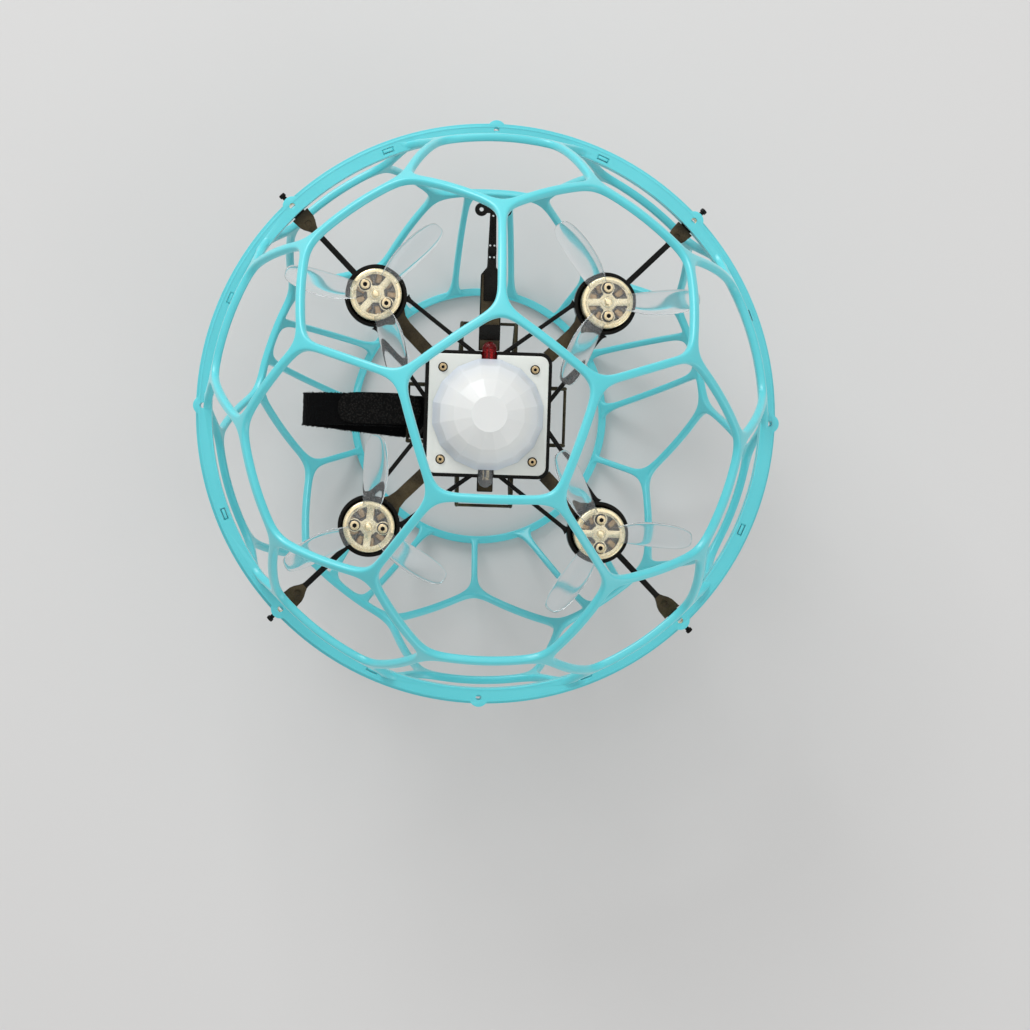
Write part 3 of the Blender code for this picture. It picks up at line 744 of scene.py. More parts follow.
def corner():
    """One arm along +X, from the tub's corner to the peg outside the rim."""
    arm_z = (-3.5, 0.5)
    arm = slab("arm", (29.3, 41.5), (-2.3, 2.3), arm_z)
    drawn_out(arm, 2.3, ((44.5, 2.8), (47.3, 4.6), (49.5, 5.6)))
    cup = rod("cup", CUP_OUTER, CUP_Z, 96, (ARM_AT, 0))
    fused(cup, arm)
    well = rod("well", CUP_INNER, (CUP_Z[0] + 1.2, 5), 96, (ARM_AT, 0))
    vent = rod("vent", 2.8, (-6, 0), 48, (ARM_AT, 0))
    carved(cup, well, vent)
    rounded(cup, 0.42, 3, 40)
    rod_z = (-1.0, 1.0)
    outer = slab("outer_rod", (ARM_AT + CUP_INNER + 0.5, 86.2), (-1, 1), rod_z)
    flare = ((87.2, 1.15), (88.4, 1.7), (90.0, 2.65), (91.4, 3.15), (94.8, 3.4))
    drawn_out(outer, 1, flare)
    dimple = rod("dimple", 1.1, (0.65, 2), 32, (90.6, 0))
    seat = rod("seat", 3.05, (0.45, 2), 64, (INSERT_AT - 0.3, 0))
    carved(outer, dimple, seat)
    rounded(outer, 0.5, 3, 40)
    eyelet = rod("eyelet", 2.95, (-1.0, 0.2), 64, (INSERT_AT, 0))
    neck = slab("neck", (93.5, 97.5), (-2.2, 2.2), (-1.0, 0.2))
    peg = rod("peg", 0.75, (100.9, 103.4), 24)
    head = rod("peg_head", 1.15, (103.0, 104.4), 32)
    rounded(head, 0.35, 3)
    fused(peg, head)
    move(peg, shift(0, 0, -0.35) @ turn_about("Y", 90))
    fused(eyelet, neck)
    carved(eyelet, rod("bore", 1.6, (-3, 3), 32, (INSERT_AT, 0)))
    rounded(eyelet, 0.2, 2, 40)
    return fused(cup, outer, eyelet, peg)


def brace():
    """One thin brace of the +X +Y cup; its twin is mirrored across the diagonal."""
    start, aim = Vector((21.4, 5.0)), Vector((45.0, 36.5))
    along = (aim - start).normalized()
    off = SHAFTS["rear_left"].xy / MM - start
    nearest = off.dot(along)
    reach = nearest - math.sqrt(CUP_OUTER**2 - (off - along * nearest).length_squared)
    length = reach + 0.6
    piece = slab("brace", (0, length - 3.0), (-0.75, 0.75), (-2.6, -0.6))
    fillet = ((1.8, 0.85), (1.1, 1.1), (0.5, 1.5), (0.2, 1.75))
    drawn_out(piece, 0.75, [(length - back, half) for back, half in fillet])
    rounded(piece, 0.3, 2, 60)
    turn = Matrix.Rotation(math.atan2(along.y, along.x), 4, "Z")
    return move(piece, shift(start.x, start.y, 0) @ turn)


# %% Main frame
swap_xy = Matrix(((0, 1, 0, 0), (1, 0, 0, 0), (0, 0, 1, 0), (0, 0, 0, 1)))
one_brace = brace()
frame_piece = tub()
tongue = slab("front_tongue", (-2.8, 2.8), (-27, -21.5), (-3.0, -1.6))
rounded(tongue, 0.4)
fused(frame_piece, tongue, around(corner(), 4, 45), around(copy_of(one_brace, swap_xy), 4))
fused(frame_piece, around(one_brace, 4))
on_airframe(frame_piece, smoke_dark_and_painted_shade, "smoke_plastic", "main_frame")


def shows_brown(face):
    """True of the level faces of the arms, flares and tongue, inside their rounded edges."""
    spot = middle(face)
    arm = abs(abs(spot.x) - abs(spot.y)) < 6 and 30 < spot.xy.length < 48
    flare = abs(abs(spot.x) - abs(spot.y)) < 6 and 87 < spot.xy.length < 95
    tongue = spot.y < -22.5 and spot.y > -27.5 and abs(spot.x) < 3
    low_tongue = tongue and spot.z < EQUATOR - 1
    low_arm = arm and EQUATOR + 0.3 < spot.z < EQUATOR + 0.6
    return face.normal.z > 0.97 and (low_arm or flare or low_tongue)


inlay(frame_piece, smoke_brown, shows_brown)

# %% [markdown]
# ## The rear boom
#
# The boom is a long flat tongue in sections: two thin windows of brown plastic between solid
# black blocks, a waist with a joint in it, a ridge, and a pair of eyelets at its end. Pin holes
# go through it at both sides of the joint.
# It is drawn along +X and turned to the rear, and the blocks are fused on top.

# %% Rear boom
BOOM_Z = (-3.0, -1.2)
boom = slab("rear_boom_shell", (22.3, 48.8), (-3.7, 3.7), (BOOM_Z[0], -1.5))
drawn_out(boom, 3.7, ((51.4, 1.6), (55, 1.5), (70.8, 1.1)))
rounded(boom, 0.4, 3)
wide_part = slab("block", (39.6, 49.2), (-2.4, 2.6), (BOOM_Z[0], -0.9))
wide_part = drawn_out(wide_part, 2.5, ((51.4, 1.3), (54.2, 1.25)))
blocks = [
    slab("block", (26.0, 31.4), (-3.7, 3.7), BOOM_Z),
    wide_part,
    slab("ridge", (54.0, 70.8), (-0.4, 0.4), (BOOM_Z[0], -1.0)),
    slab("joint", (55.6, 58.4), (-1.5, 1.5), (BOOM_Z[0], -0.9)),
    slab("cross_bar", (70.2, 72.6), (-4.2, 4.2), BOOM_Z),
]
for block in blocks:
    fused(boom, rounded(block, 0.3))
for side in (-1, 1):
    eyelet = rounded(rod("eyelet", 2.3, BOOM_Z, 48, (71.4, side * 4.15)), 0.35, 3)
    fused(boom, eyelet)
    carved(boom, rod("bore", 0.75, (-5, 1), 24, (71.4, side * 4.15)))
for along, side in ((54.9, -1), (54.9, 1), (59.0, -1), (59.0, 1), (69.3, 0)):
    carved(boom, rod("pin_hole", 0.36, (-5, 1), 16, (along, side * 0.75)))
move(boom, turn_about("Z", 90))
on_airframe(boom, smoke_dark_and_painted_shade, "smoke_plastic", "rear_boom")


def boom_panel(face):
    """True of the two thin brown panels of the boom."""
    y = middle(face).y
    low = abs(middle(face).z - (EQUATOR - 1.5)) < 0.05
    return face.normal.z > 0.97 and low and (y < 26.2 or 31 < y < 47)


inlay(boom, smoke_brown, boom_panel)

# %% [markdown]
# ## The top plate
#
# The plate is plain white plastic with a fine satin grain. The mould leaves a soft edge all
# round, a shallow ring round each screw, and a notch at the front and rear for the two lights.

# %% Plate finish and plate
deep = {"Subsurface Weight": 0.15, "Subsurface Radius": (1.5, 1.5, 1.3), "Subsurface Scale": 0.001}
white, tree, shader = finish("white_satin_plastic", (0.72, 0.73, 0.69), 0.42, more=deep)
drifting(tree, shader, noise(tree, 60, 3), (0.685, 0.705, 0.665), (0.725, 0.74, 0.705))
grained(tree, shader, (0.38, 0.50), 3200, 0.00002)

PLATE_HALF = 20.75
PLATE_Z = (3.0, 4.5)
plate = slab("top_plate_shell", (-PLATE_HALF, PLATE_HALF), (-PLATE_HALF, PLATE_HALF), PLATE_Z)
upright_corners(plate, 3.0, 8)
notch_y = 16.6
for side in (-1, 1):
    across = sorted((side * notch_y, side * 25))
    carved(plate, slab("notch", (-2.7, 2.7), across, (0, 8)))
rounded(plate, 0.4, 3)
wells = around(rod("well", 1.68, (2, 6), 40, (SCREW_AT, SCREW_AT)), 4)
carved(plate, wells)
on_airframe(plate, white, "white_plastic", "top_plate")


def painted_shade_in_wells(face):
    """True of the walls of the wells that the plate's screws sit in, which are painted dark as painted
    shade.
    """
    spot = middle(face)
    near = abs(spot.xy.length - math.hypot(SCREW_AT, SCREW_AT)) < 1.75
    return abs(face.normal.z) < 0.3 and near and abs(abs(spot.x) - abs(spot.y)) < 2.6


# The white walls of the screw wells get the dark smoke finish: painted shade.
inlay(plate, smoke_dark_and_painted_shade, painted_shade_in_wells)


# %% [markdown]
# ## Screws
#
# A small screw is a cylinder for its head and another for its shank, with a hexagonal socket
# carved in. The same modelling serves the four plate screws and the eight propeller screws;
# only the sizes and the metal change. Plated metals get their life from a roughness that
# drifts a little across the surface, because that breaks up the reflections.


# %% Metals
def metal(name, low, high, roughness, grain=900):
    made, tree, shader = finish(name, low, roughness[0], 1.0)
    drifting(tree, shader, noise(tree, grain, 4), low, high)
    grained(tree, shader, roughness, grain * 3, 0.000008)
    return made


gold = metal("champagne_gold", (0.86, 0.71, 0.44), (0.95, 0.83, 0.58), (0.20, 0.34))
brass = metal("screw_brass", (0.46, 0.34, 0.19), (0.56, 0.43, 0.26), (0.22, 0.36))
pale_gold = metal("plated_screw", (0.66, 0.53, 0.32), (0.74, 0.62, 0.42), (0.18, 0.30))
copper = metal("copper_wire", (0.42, 0.27, 0.13), (0.62, 0.40, 0.20), (0.32, 0.5), 2500)
steel = metal("dark_steel", (0.17, 0.145, 0.10), (0.27, 0.235, 0.17), (0.30, 0.45))


def cap_screw(name, head_r, head_z, shank_r, foot, socket_r, place):
    """A round-headed screw with a hexagonal socket."""
    head = rounded(rod(name, head_r, head_z, 48), 0.18, 3)
    shank = rod("shank", shank_r, (foot, head_z[0] + 0.1), 24)
    fused(head, shank)
    depth = 0.75 * (head_z[1] - head_z[0])
    carved(head, rod("socket", socket_r, (head_z[1] - depth, head_z[1] + 1), 6))
    return smooth(move(head, shift(*place)), 40)


def painted_shade_in_socket(place, socket_r, top):
    """A test for the walls and the floor of a screw's socket, which are painted dark as painted shade.
    """
    deepest = place.z + top - 0.01
    return lambda f: (middle(f) - place).xy.length < 0.97 * socket_r and middle(f).z < deepest


# %% Plate screws
PLATE_SOCKET_R = 0.62
PLATE_HEAD_Z = (4.6, 5.3)

for number, (x, y) in enumerate(((-1, 1), (1, 1), (-1, -1), (1, -1)), 1):
    spot = Vector((x * SCREW_AT, y * SCREW_AT, EQUATOR))
    piece = cap_screw(f"plate_screw_{number}_shell", 1.3, PLATE_HEAD_Z, 0.7, -2, PLATE_SOCKET_R, spot)
    place_piece(piece, brass, "airframe", "brass_screw", f"plate_screw_{number}")
    # The socket's walls and floor get the dark smoke finish: painted shade.
    inlay(piece, smoke_dark_and_painted_shade, painted_shade_in_socket(spot, PLATE_SOCKET_R, PLATE_HEAD_Z[1]))

# %% [markdown]
# ## The dome light
#
# A sixteen-sided circle is extruded upwards three times, drawn in at each step, which gives
# three rows of flat facets. A round cap closes it. Solidify makes the shell, and a very small
# bevel keeps the facets' edges soft. The plastic is milky: light scatters inside it, which
# evens out the shading from one facet to the next.

# %% Dome finish and dome
deep = {"Subsurface Weight": 0.18, "Subsurface Radius": (2.0, 2.2, 2.4), "Subsurface Scale": 0.0015}
milky, tree, shader = finish("milky_diffuser", (0.82, 0.825, 0.83), 0.34, more=deep)
# The colour runs from a darker blue-grey at the foot to a neutral pale grey higher up: painted shade and
# painted bluish reflection on the steep lower facets.
where = tree.nodes.new("ShaderNodeTexCoord")
split = tree.nodes.new("ShaderNodeSeparateXYZ")
tree.links.new(where.outputs["Object"], split.inputs["Vector"])
painted_shade_heights = ((EQUATOR + 6) * MM, (EQUATOR + 17) * MM)
drifting(tree, shader, split.outputs["Z"], (0.59, 0.64, 0.72), (0.725, 0.73, 0.725), *painted_shade_heights)
grained(tree, shader, (0.30, 0.40), 2400, 0.00001)

DOME_FOOT = 4.8
DOME_ROWS = ((19.65, 0.0), (17.0, 8.6), (12.4, 13.3), (6.3, 16.6))
DOME_SIDES = 16
bpy.ops.mesh.primitive_circle_add(
    vertices=DOME_SIDES,
    radius=DOME_ROWS[0][0] * MM,
    fill_type="NOTHING",
    rotation=(0, 0, math.pi / DOME_SIDES),
)
dome = settle(added("dome_light_shell"))
edit(dome, "VERT", "SELECT")
for (radius, height), (next_radius, next_height) in zip(DOME_ROWS, DOME_ROWS[1:]):
    shrink = next_radius / radius
    push(0, 0, next_height - height)
    bpy.ops.transform.resize(value=(shrink, shrink, 1), center_override=(0, 0, 0))
bpy.ops.mesh.edge_face_add()
done()
face_outwards(dome)
apply_modifier(dome, "SOLIDIFY", thickness=1.2 * MM, offset=-1.0)
rounded(dome, 0.12, 2, 8)
move(dome, shift(0, 0, DOME_FOOT))
top = DOME_FOOT + DOME_ROWS[-1][1]
cap = rounded(rod("cap", 6.35, (top - 0.6, top + 0.08), 96), 0.25, 3)
fused(dome, cap)
on_airframe(dome, milky, "milky_plastic", "dome_light", degrees=12)

# %% [markdown]
# ## The two lights
#
# Each is a standard 5 mm light lying on its side: a cylinder with a round nose and a collar at
# its back, cast in clear or red resin. Its two legs run into the resin as thin flat blades,
# and one ends in a little cup. They show through, so they are modelled inside.


# %% Light resins
def resin(name, colour, roughness):
    made, tree, shader = finish(name, colour, roughness, more={"Transmission Weight": 0.82, "IOR": 1.3})
    drift = spread(tree, noise(tree, 300, 2), roughness, roughness + 0.05)
    tree.links.new(drift, shader.inputs["Roughness"])
    return made


red_resin = resin("red_resin", (0.42, 0.004, 0.008), 0.14)
clear_resin = resin("clear_resin", (0.62, 0.63, 0.65), 0.22)
LAMP_R = 2.5
LAMP_TIP = 25.4
LAMP_BACK = 16.8
LAMP_Z = 2.0


def lamp(name, side, material, slot, node):
    """A 5 mm light along +Z first, then laid down towards the front or the rear."""
    body = rod(name, LAMP_R, (LAMP_BACK, LAMP_TIP - LAMP_R), 48)
    nose = LAMP_TIP - LAMP_R
    bpy.ops.mesh.primitive_uv_sphere_add(segments=48, ring_count=24, radius=LAMP_R * MM)
    fused(body, move(settle(added("nose")), shift(0, 0, nose)))
    lay = shift(0, 0, LAMP_Z) @ turn_about("X", -90 * side)
    on_airframe(move(body, lay), material, slot, node, degrees=30)
    post = slab("post", (-0.85, -0.45), (-0.3, 0.3), (LAMP_BACK + 0.4, 22.8))
    blade = slab("anvil", (0.2, 1.0), (-0.3, 0.3), (LAMP_BACK + 0.4, 22.0))
    cup = rod("cup", 0.65, (21.8, 22.7), 24, (0.35, 0))
    legs = merged(rounded(post, 0.08), rounded(blade, 0.08), rounded(cup, 0.1))
    legs.name = f"{node}_legs"
    on_airframe(move(legs, lay), pale_gold, "screw_steel")


lamp("rear_led_lens", 1, red_resin, "red_lens", "rear_led")
lamp("front_led_lens", -1, clear_resin, "clear_lens", "front_led")

# %% [markdown]
# ## Boards
#
# Two boards are out of sight: one under the dome that carries its four lights, and the flight
# board in the tub. Each is a thin plate with its chips standing on it, in green solder mask.

# %% Boards
mask, tree, shader = finish("solder_mask", (0.02, 0.11, 0.05), 0.35)
tracks = noise(tree, 900, 2, (1, 6, 1))
drifting(tree, shader, tracks, (0.015, 0.085, 0.04), (0.03, 0.15, 0.07), 0.49, 0.52)
grained(tree, shader, (0.28, 0.42), 2500, 0.00001)


def stood_on(board, chip, places, start=0.0):
    """Fuses a ring of chips onto a board."""
    return fused(board, around(rounded(chip, 0.15), places, start))


light_board = rounded(rod("light_board_shell", 16, (4.9, 5.8), 72), 0.1)
stood_on(light_board, slab("chip", (8.5, 12.5), (-1.8, 1.8), (5.5, 7.2)), 4)
on_airframe(light_board, mask, "circuit_board", "light_board")
wide, narrow = 18.5, 13.2
flight_board = slab("flight_board_shell", (-wide, wide), (-narrow, narrow), (-3.6, -2.6))
fused(flight_board, slab("cross", (-narrow, narrow), (-wide, wide), (-3.6, -2.6)))
rounded(flight_board, 0.15)
stood_on(flight_board, slab("socket", (10, 15), (-4, 4), (-3.1, -1.4)), 4)
stood_on(flight_board, slab("chip", (-4.5, 4.5), (-4.5, 4.5), (-3.1, -1.6)), 1)
on_airframe(flight_board, mask, "circuit_board", "flight_board")

# %% [markdown]
# ## Gold eyelets
#
# Each arm ends in a brass eyelet: a thin flange on a short tube, with a polished face. It is
# two cylinders with a hole through both, made once along +X and copied to the four corners.

# %% Eyelets
for name, shaft in SHAFTS.items():
    flange = rounded(rod(f"arm_insert_{name}_shell", 2.6, (0.5, 1), 72, (INSERT_AT, 0)), 0.15, 3)
    tube = rod("tube", 1.3, (-1, 0.7), 40, (INSERT_AT, 0))
    fused(flange, tube)
    carved(flange, rod("bore", 0.8, (-3, 3), 32, (INSERT_AT, 0)))
    rounded(flange, 0.08, 2, 50)
    move(flange, Matrix.Rotation(math.atan2(shaft.y, shaft.x), 4, "Z"))
    on_airframe(flange, gold, "brass", f"arm_insert_{name}")

# %% [markdown]
# ## Motors
#
# A motor has a still core with nine wound teeth, and a bell that turns round it. The bell's
# top is a wheel with four wide windows, so the copper inside shows, and two bosses take the
# propeller's screws. All of it is turned and drilled work, so cylinders and holes do it.

# %% Stator
CORE_TEETH = 9
COIL_AT = 5.4


def stator(name, shaft):
    """The still part of a motor: base, core plate and wound teeth."""
    foot = CUP_Z[0] + 1.5
    base = rounded(rod(f"stator_{name}_shell", 8, (foot, 1.0), 72), 0.3, 3)
    neck = rod("neck", 3.0, (0.5, 7.8), 40)
    yoke = rod("yoke", 7.6, (3.0, 3.6), 72)
    fused(base, neck, yoke)
    carved(base, rod("bore", 1.6, (-5, 10), 40))
    coil = slab("coil", (COIL_AT - 2.0, COIL_AT + 1.8), (-1.3, 1.3), (3.3, 7.0))
    rounded(coil, 0.7, 4)
    coils = around(coil, CORE_TEETH)
    wear(coils, copper)
    wear(base, steel)
    smooth(coils)
    smooth(base)
    whole = merged(base, coils)
    move(whole, Matrix.Translation(shaft))
    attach(whole, "airframe")
    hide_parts(f"stator_{name}")


# %% Bell
BELL_R = 8.9
BELL_Z = (1.5, 9.5)
SCREW_OFFSET = 4.85
BELL_TOP = 1.2


def painted_shade_in_recesses(face):
    """True of the floors of the shallow recesses in the bell's top, which are painted dark as painted
    shade.
    """
    low = abs(middle(face).z - (BELL_Z[1] - 0.275)) < 0.06
    return low and face.normal.z > 0.9 and middle(face).xy.length > 2.6


def bell(name, place):
    """The can that turns: a cup, its windows, its bosses and its shaft."""
    low, high = BELL_Z
    can = rounded(rod(f"bell_{name}_shell", BELL_R, BELL_Z, 96), 0.55, 4)
    carved(can, rod("inside", BELL_R - 0.7, (low - 1, high - BELL_TOP), 96))
    window = rod("window", 6.7, (high - 2, high + 1), 96)
    carved(window, rod("hub", 2.9, (high - 3, high + 2), 48))
    for turn, width in ((0, 1.2), (90, 1.5)):
        spoke = slab("spoke", (-9, 9), (-width, width), (high - 3, high + 2))
        carved(window, move(spoke, turn_about("Z", turn)))
    for side in (-1, 1):
        boss = rod("boss", 2.3, (high - 3, high + 2), 40, (0, side * SCREW_OFFSET))
        carved(window, boss)
    upright_corners(window, 0.35, 3, 50)
    carved(can, window)
    for side in (-1, 1):
        carved(can, rod("drill", 1.1, (high - 2, high + 1), 32, (0, side * SCREW_OFFSET)))
    rounded(can, 0.12, 2, 50)
    groove = rod("groove", 7.25, (high - 0.25, high + 1), 96)
    carved(groove, rod("inner", 7.05, (high - 1, high + 2), 96))
    rings = [rod("seat", 2.0, (high - 0.3, high + 1), 40, (0, s * SCREW_OFFSET)) for s in (-1, 1)]
    carved(can, groove, *rings)
    shaft = rounded(rod("shaft", 1.1, (-1.8, 13.7), 40), 0.25, 3)
    collar = rounded(rod("collar", 2.1, (high - 1, high + 0.35), 48), 0.15)
    fused(can, collar, shaft)
    place_piece(can, gold, f"rotor_{name}", "gold_anodised", f"bell_{name}")
    # The floors of the groove and the screw seats get the dark smoke finish: painted shade.
    inlay(can, smoke_dark_and_painted_shade, painted_shade_in_recesses)
    smooth(move(can, place))


# %% [markdown]
# ## Propellers
#
# A blade starts as a thin box at the hub. Its end face is extruded from station to station,
# and at each one it is narrowed, swept and turned about the blade's length, which gives the
# twist. Subdivision Surface rounds the section into a lens. The plastic is clear: what shows
# of it is its bright and dark edges, and a faint veil over whatever lies behind.

# %% Clear finish
see_through = {"Transmission Weight": 0.96, "IOR": 1.40}
clear, tree, shader = finish("clear_polycarbonate", (0.93, 0.95, 0.96), 0.04, more=see_through)
smear = spread(tree, noise(tree, 180, 3), 0.03, 0.12)
tree.links.new(smear, shader.inputs["Roughness"])

# %% Propeller
HUB_R = 7.65
HUB_Z = (10.1, 12.8)
# How far out, how wide, how steep in degrees, and how far the middle is swept back.
STATIONS = (
    (6.4, 6.2, 24, 0.0),
    (9.0, 7.6, 26, 0.3),
    (13.0, 9.0, 24, 0.5),
    (18.0, 9.4, 21, 0.3),
    (23.0, 9.1, 17.5, -0.1),
    (27.0, 8.2, 15, -0.5),
    (30.0, 6.4, 13, -0.8),
    (31.3, 4.6, 12, -0.9),
    (31.85, 2.6, 12, -0.9),
)
BLADE_THICK = 0.95


def blade():
    """One blade along +X, for a propeller that turns one way; the other way is its mirror image."""
    out, chord, pitch, sweep = STATIONS[0]
    half, thin = chord * ROUNDING / 2, BLADE_THICK / 2
    piece = slab("blade", (4.6, out), (-half, half), (-thin, thin))
    move(piece, turn_about("X", pitch))
    edit(piece)
    pick(lambda f: f.normal.x > 0.9)
    for next_out, next_chord, next_pitch, next_sweep in STATIONS[1:]:
        push(next_out - out, next_sweep - sweep, 0)
        spot = (next_out * MM, next_sweep * MM, 0)
        shrink = next_chord / chord
        tilt = math.radians(next_pitch - pitch)
        bpy.ops.transform.resize(value=(1, shrink, shrink), center_override=spot)
        bpy.ops.transform.rotate(value=-tilt, orient_axis="X", center_override=spot)
        out, chord, pitch, sweep = next_out, next_chord, next_pitch, next_sweep
    done()
    apply_modifier(piece, "SUBSURF", levels=3, render_levels=3)
    return move(piece, shift(0, 0, (HUB_Z[0] + HUB_Z[1]) / 2))


def propeller(name, hand, place):
    """A clear hub with a stepped top, and three blades."""
    hub = rod(f"propeller_{name}_shell", HUB_R, (HUB_Z[0], HUB_Z[1] - 0.7), 96)
    step = rod("step", 6.7, (HUB_Z[0] + 1, HUB_Z[1]), 96)
    blades = around(blade(), 3)
    if hand < 0:
        move(blades, Matrix.Scale(-1, 4, (0, 1, 0)))
        blades.data.flip_normals()
    fused(hub, step)
    rounded(hub, 0.25, 3, 40)
    fused(hub, blades)
    drills = [rod("bore", 1.4, (8, 15), 48)]
    drills += [rod("drill", 1.1, (8, 15), 32, (0, s * SCREW_OFFSET)) for s in (-1, 1)]
    carved(hub, *drills)
    smooth(move(hub, place), 30)
    place_piece(hub, clear, f"rotor_{name}", "clear_plastic", f"propeller_{name}")


# %% Four motors
# How each propeller is turned at rest, in degrees, and which way it is handed.
REST = {"rear_right": (50, 1), "rear_left": (2, -1), "front_right": (85, -1), "front_left": (0, 1)}
PROP_SOCKET_R = 0.85
head_z = (HUB_Z[1] + 0.3, HUB_Z[1] + 1.3)

for name, shaft in SHAFTS.items():
    degrees, hand = REST[name]
    place = Matrix.Translation(shaft) @ turn_about("Z", degrees)
    stator(name, shaft)
    bell(name, place)
    propeller(name, hand, place)
    for letter, side in (("a", -1), ("b", 1)):
        spot = (place @ shift(0, side * SCREW_OFFSET, 0)).translation / MM
        label = f"prop_screw_{name}_{letter}"
        piece = cap_screw(f"{label}_shell", 1.65, head_z, 0.8, 8.7, PROP_SOCKET_R, spot)
        place_piece(piece, pale_gold, f"rotor_{name}", "screw_steel", label)
        # The socket's walls and floor get the dark smoke finish: painted shade.
        inlay(piece, smoke_dark_and_painted_shade, painted_shade_in_socket(spot, PROP_SOCKET_R, head_z[1]))

# %% [markdown]
# ## The battery's basket
#
# The basket is bent from thin bars. Each hoop starts as a single corner point, extruded along
# its route; the route's corners are rounded by bevelling its points, and turning it into a
# curve gives it a round section. Two hoops run across, two run lengthwise, and four short
# bars tie them together.


# %% Bent bars
HOOP_R = 0.68
HOOP_BEND = 1.3
TIE_R = 0.55


def drawn_path(name, points):
    """A path of edges: one point, extruded to each of the others in turn."""
    bpy.ops.mesh.primitive_plane_add(size=MM)
    path = added(name)
    edit(path, "VERT", "SELECT")
    bpy.ops.mesh.merge(type="CENTER")
    bpy.ops.transform.translate(value=Vector(points[0]) * MM)
    for here, there in zip(points, points[1:]):
        push(*(Vector(there) - Vector(here)))
    done()
    return path


def round_bar(name, points, radius, bend):
    """A bar of round section along a route, with rounded bends."""
    path = drawn_path(name, points)
    if bend:
        edit(path, "VERT", "SELECT")
        bpy.ops.mesh.bevel(offset=bend * MM, segments=4, affect="VERTICES")
        done()
    only(path)
    bpy.ops.object.convert(target="CURVE")
    path.data.bevel_depth = radius * MM
    path.data.bevel_resolution = 3
    path.data.use_fill_caps = True
    bpy.ops.object.convert(target="MESH")
    return face_outwards(bpy.context.object)


def hoop(half_length, plane, bottom, depth):
    """A hoop that hangs under the tub, in the X-Z plane at a given Y."""
    top = -6.9
    side = [(20, top), (half_length, top), (half_length, top - 3), (bottom, -depth)]
    route = [(-x, plane, z) for x, z in side] + [(x, plane, z) for x, z in reversed(side)]
    return round_bar("hoop", route, HOOP_R, HOOP_BEND)


# %% Basket
quarter = turn_about("Z", 90)
across = [hoop(27.5, y, 11.5, 21.5) for y in (-10, 10)]
lengthwise = [move(hoop(32, x, 22.5, 21.8), quarter) for x in (-9.5, 9.5)]
tie_z = -8.8
ties = []
for side in (-1, 1):
    x, y = side * 27.5, side * 32
    ties.append(round_bar("tie", [(x, -10, tie_z), (x, 10, tie_z)], TIE_R, 0))
    ties.append(round_bar("tie", [(-9.5, y, tie_z), (9.5, y, tie_z)], TIE_R, 0))
basket = merged(*across, *lengthwise, *ties)
basket.name = "battery_basket_shell"
on_airframe(basket, smoke_thin, "smoke_plastic", "battery_basket", degrees=50)

# %% [markdown]
# ## The battery
#
# The pack hangs in the basket under the tub, wrapped in shrink film. The film is pulled tight
# over rounded corners, and folded into a thin seam at both ends.

# %% Battery
film, tree, shader = finish("shrink_film", (0.05, 0.075, 0.11), 0.25)
wrinkle = noise(tree, 220, 3, (1, 0.25, 1))
tree.links.new(spread(tree, wrinkle, 0.18, 0.40), shader.inputs["Roughness"])
bump(tree, shader, wrinkle, 0.0003, 0.5)
pack = slab("battery_pack_shell", (-10, 10), (-21, 21), (-20.3, -7.9))
rounded(pack, 2.0, 6)
for side in (-1, 1):
    ends = sorted((side * 20.2, side * 20.95))
    seam = rounded(slab("seam", (-8.6, 8.6), ends, (-14.6, -13.8)), 0.2)
    fused(pack, seam)
on_airframe(pack, film, "battery_wrap", "battery_pack")

# %% [markdown]
# ## The strap
#
# The strap is hook-and-loop tape: a fuzzy loop band that goes round the battery and out to
# the side as a flat loop, and a smoother hook pad with a round end stuck down on top of it.
# Each is a path seen from the side, extruded to the tape's width, given its thickness and
# divided finely. A Displace modifier then ruffles the loop band's surface, and small tufts of
# pile stand along its edges.

# %% Tape finishes
soft = {"Specular IOR Level": 0.04, "Sheen Weight": 0.05, "Sheen Roughness": 0.5}
fuzz, tree, shader = finish("loop_tape", (0.006, 0.006, 0.007), 0.95, more=soft)
pile = noise(tree, 2600, 5)
drifting(tree, shader, pile, (0.0008, 0.0008, 0.0009), (0.0050, 0.0050, 0.0055))
bump(tree, shader, pile, 0.0006, 0.9)

weave, tree, shader = finish("hook_tape", (0.010, 0.010, 0.010), 0.85, more={"Specular IOR Level": 0.08})
where = tree.nodes.new("ShaderNodeTexCoord")
cells = tree.nodes.new("ShaderNodeTexVoronoi")
cells.inputs["Scale"].default_value = 1400
tree.links.new(where.outputs["Object"], cells.inputs["Vector"])
dots = spread(tree, cells.outputs["Distance"], 1, 0, 0.1, 0.6)
drifting(tree, shader, dots, (0.0030, 0.0030, 0.0030), (0.0190, 0.0175, 0.0165), 0, 1)
bump(tree, shader, dots, 0.0003, 0.8)

# %% Strap
TAPE_HALF = 5.5
BAND_THICK = 1.15
PAD_THICK = 0.8
RUFFLE = 0.5
LOOP_ROUTE = (
    (9.0, -0.4, -7.0),
    (12.0, -0.4, -8.4),
    (13.8, -0.4, -12.0),
    (13.8, -0.4, -18.0),
    (13.4, -0.6, -22.2),
    (11.6, -0.8, -23.4),
    (-12.0, -3.4, -23.4),
    (-19.0, -3.7, -22.0),
    (-30.0, -3.2, -18.0),
    (-42.0, -2.2, -15.2),
    (-54.0, -1.0, -14.0),
    (-62.0, -0.3, -13.2),
    (-64.6, 0.0, -11.2),
    (-63.0, 0.2, -9.2),
    (-56.0, 0.4, -8.0),
    (-44.0, 0.6, -7.6),
    (-30.0, 0.4, -7.6),
)
PAD_ROUTE = ((-52.5, 0.9, -6.7), (-44.0, 1.1, -6.1), (-32.0, 1.1, -5.9), (-22.5, 0.9, -6.2))


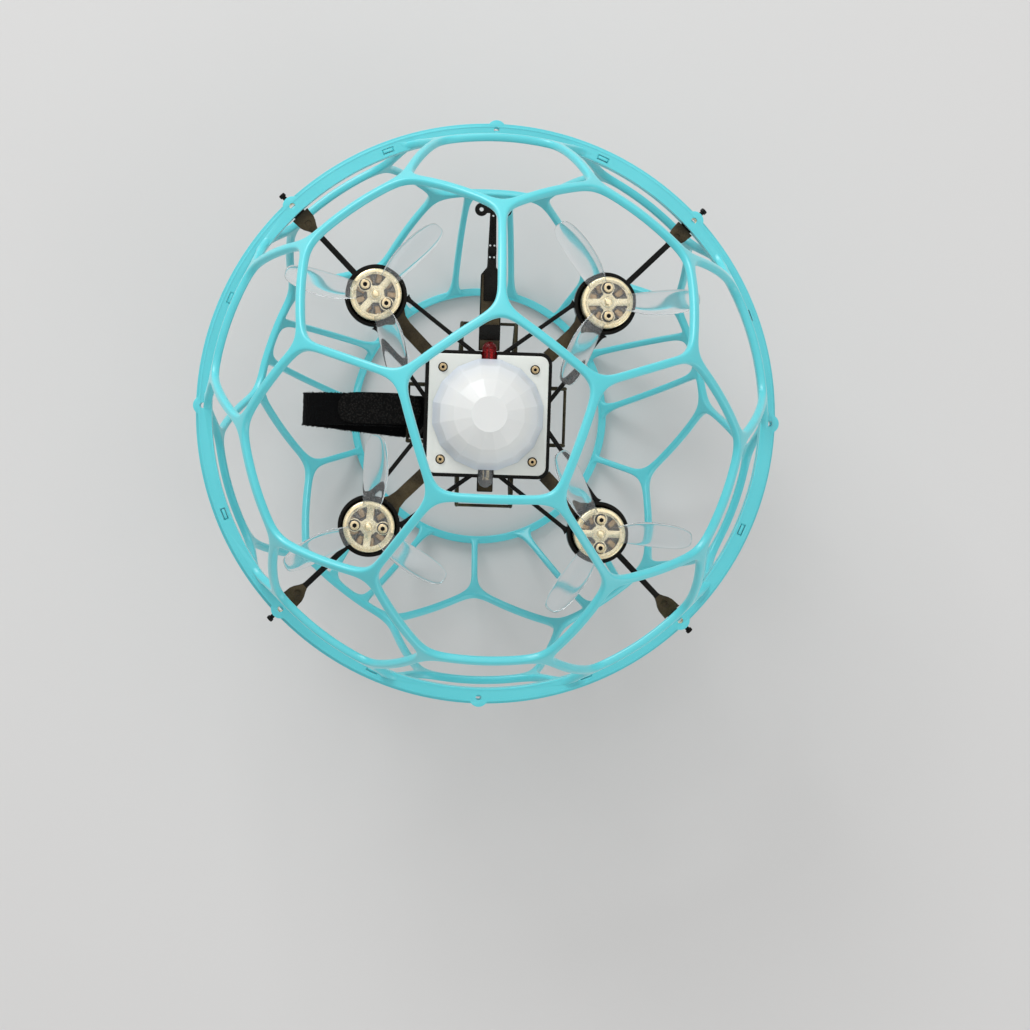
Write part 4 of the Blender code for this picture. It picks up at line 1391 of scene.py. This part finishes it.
def tape(name, route, thick, closed):
    """A band whose path is seen from the side, extruded to its width and thickened."""
    path = drawn_path(name, route)
    if closed:
        edit(path, "VERT")
        ends = [Vector(route[0]) * MM, Vector(route[-1]) * MM]
        pick(lambda v: min((v.co - e).length for e in ends) < 0.01 * MM, "VERT")
        bpy.ops.mesh.edge_face_add()
        done()
    edit(path, "EDGE", "SELECT")
    bpy.ops.transform.translate(value=(0, -TAPE_HALF * MM, 0))
    push(0, 2 * TAPE_HALF, 0)
    done()
    apply_modifier(path, "SUBSURF", levels=2, render_levels=2)
    apply_modifier(path, "SOLIDIFY", thickness=thick * MM, offset=0.0)
    return face_outwards(path)


band = tape("battery_strap_shell", LOOP_ROUTE, BAND_THICK, True)
edit(band, select="SELECT")
bpy.ops.mesh.subdivide(number_cuts=5)
done()
ruffle = bpy.data.textures.new("ruffle", "CLOUDS")
ruffle.noise_scale = 0.0006
ruffle.noise_depth = 2
apply_modifier(band, "DISPLACE", texture=ruffle, strength=RUFFLE * MM, texture_coords="LOCAL")


def pile_of(route, per_mm, seed):
    """Small tufts of pile along both edges of a band, each with its own size and slant."""
    chance = random.Random(seed)
    bpy.ops.mesh.primitive_ico_sphere_add(subdivisions=1, radius=0.30 * MM)
    tuft = settle(added("tuft"))
    tufts = []
    for start, end in zip(route, route[1:]):
        here, there = Vector(start) * MM, Vector(end) * MM
        for _ in range(int((there - here).length / MM * per_mm)):
            side = chance.choice((-1, 1))
            root = here.lerp(there, chance.random())
            root += Vector((0, side * TAPE_HALF, chance.uniform(-0.4, 0.4))) * MM
            slant = Matrix.Rotation(chance.gauss(0, 0.5), 4, "Z")
            stretch = Matrix.Diagonal((chance.uniform(0.3, 0.8), chance.uniform(0.6, 2.0), 0.6, 1))
            tufts.append(copy_of(tuft, Matrix.Translation(root) @ slant @ stretch))
    return merged(tuft, *tufts)


on_airframe(band, fuzz, "black_webbing", "battery_strap", degrees=180)

tufts = pile_of(LOOP_ROUTE, 6, 3)
tufts.name = "battery_strap_tufts"
on_airframe(tufts, fuzz, "black_webbing", degrees=180)

pad = tape("battery_strap_pad", PAD_ROUTE, PAD_THICK, False)
edge = rod("round_end", 6.6, (-20, 0), 64, (-46.5, 1.0))
body = slab("long_part", (-46.5, -20), (-8, 8), (-20, 0))
fused(edge, body)
boolean(pad, edge, "INTERSECT")
rounded(pad, 0.15, 2, 50)
on_airframe(pad, weave, "black_webbing")

around_battery = LOOP_ROUTE + LOOP_ROUTE[:1]
steps = zip(around_battery, around_battery[1:])
loop_length = sum((Vector(b) - Vector(a)).length for a, b in steps) * MM
print(f"a strap {loop_length * 1000:.0f} mm round, and its pad")
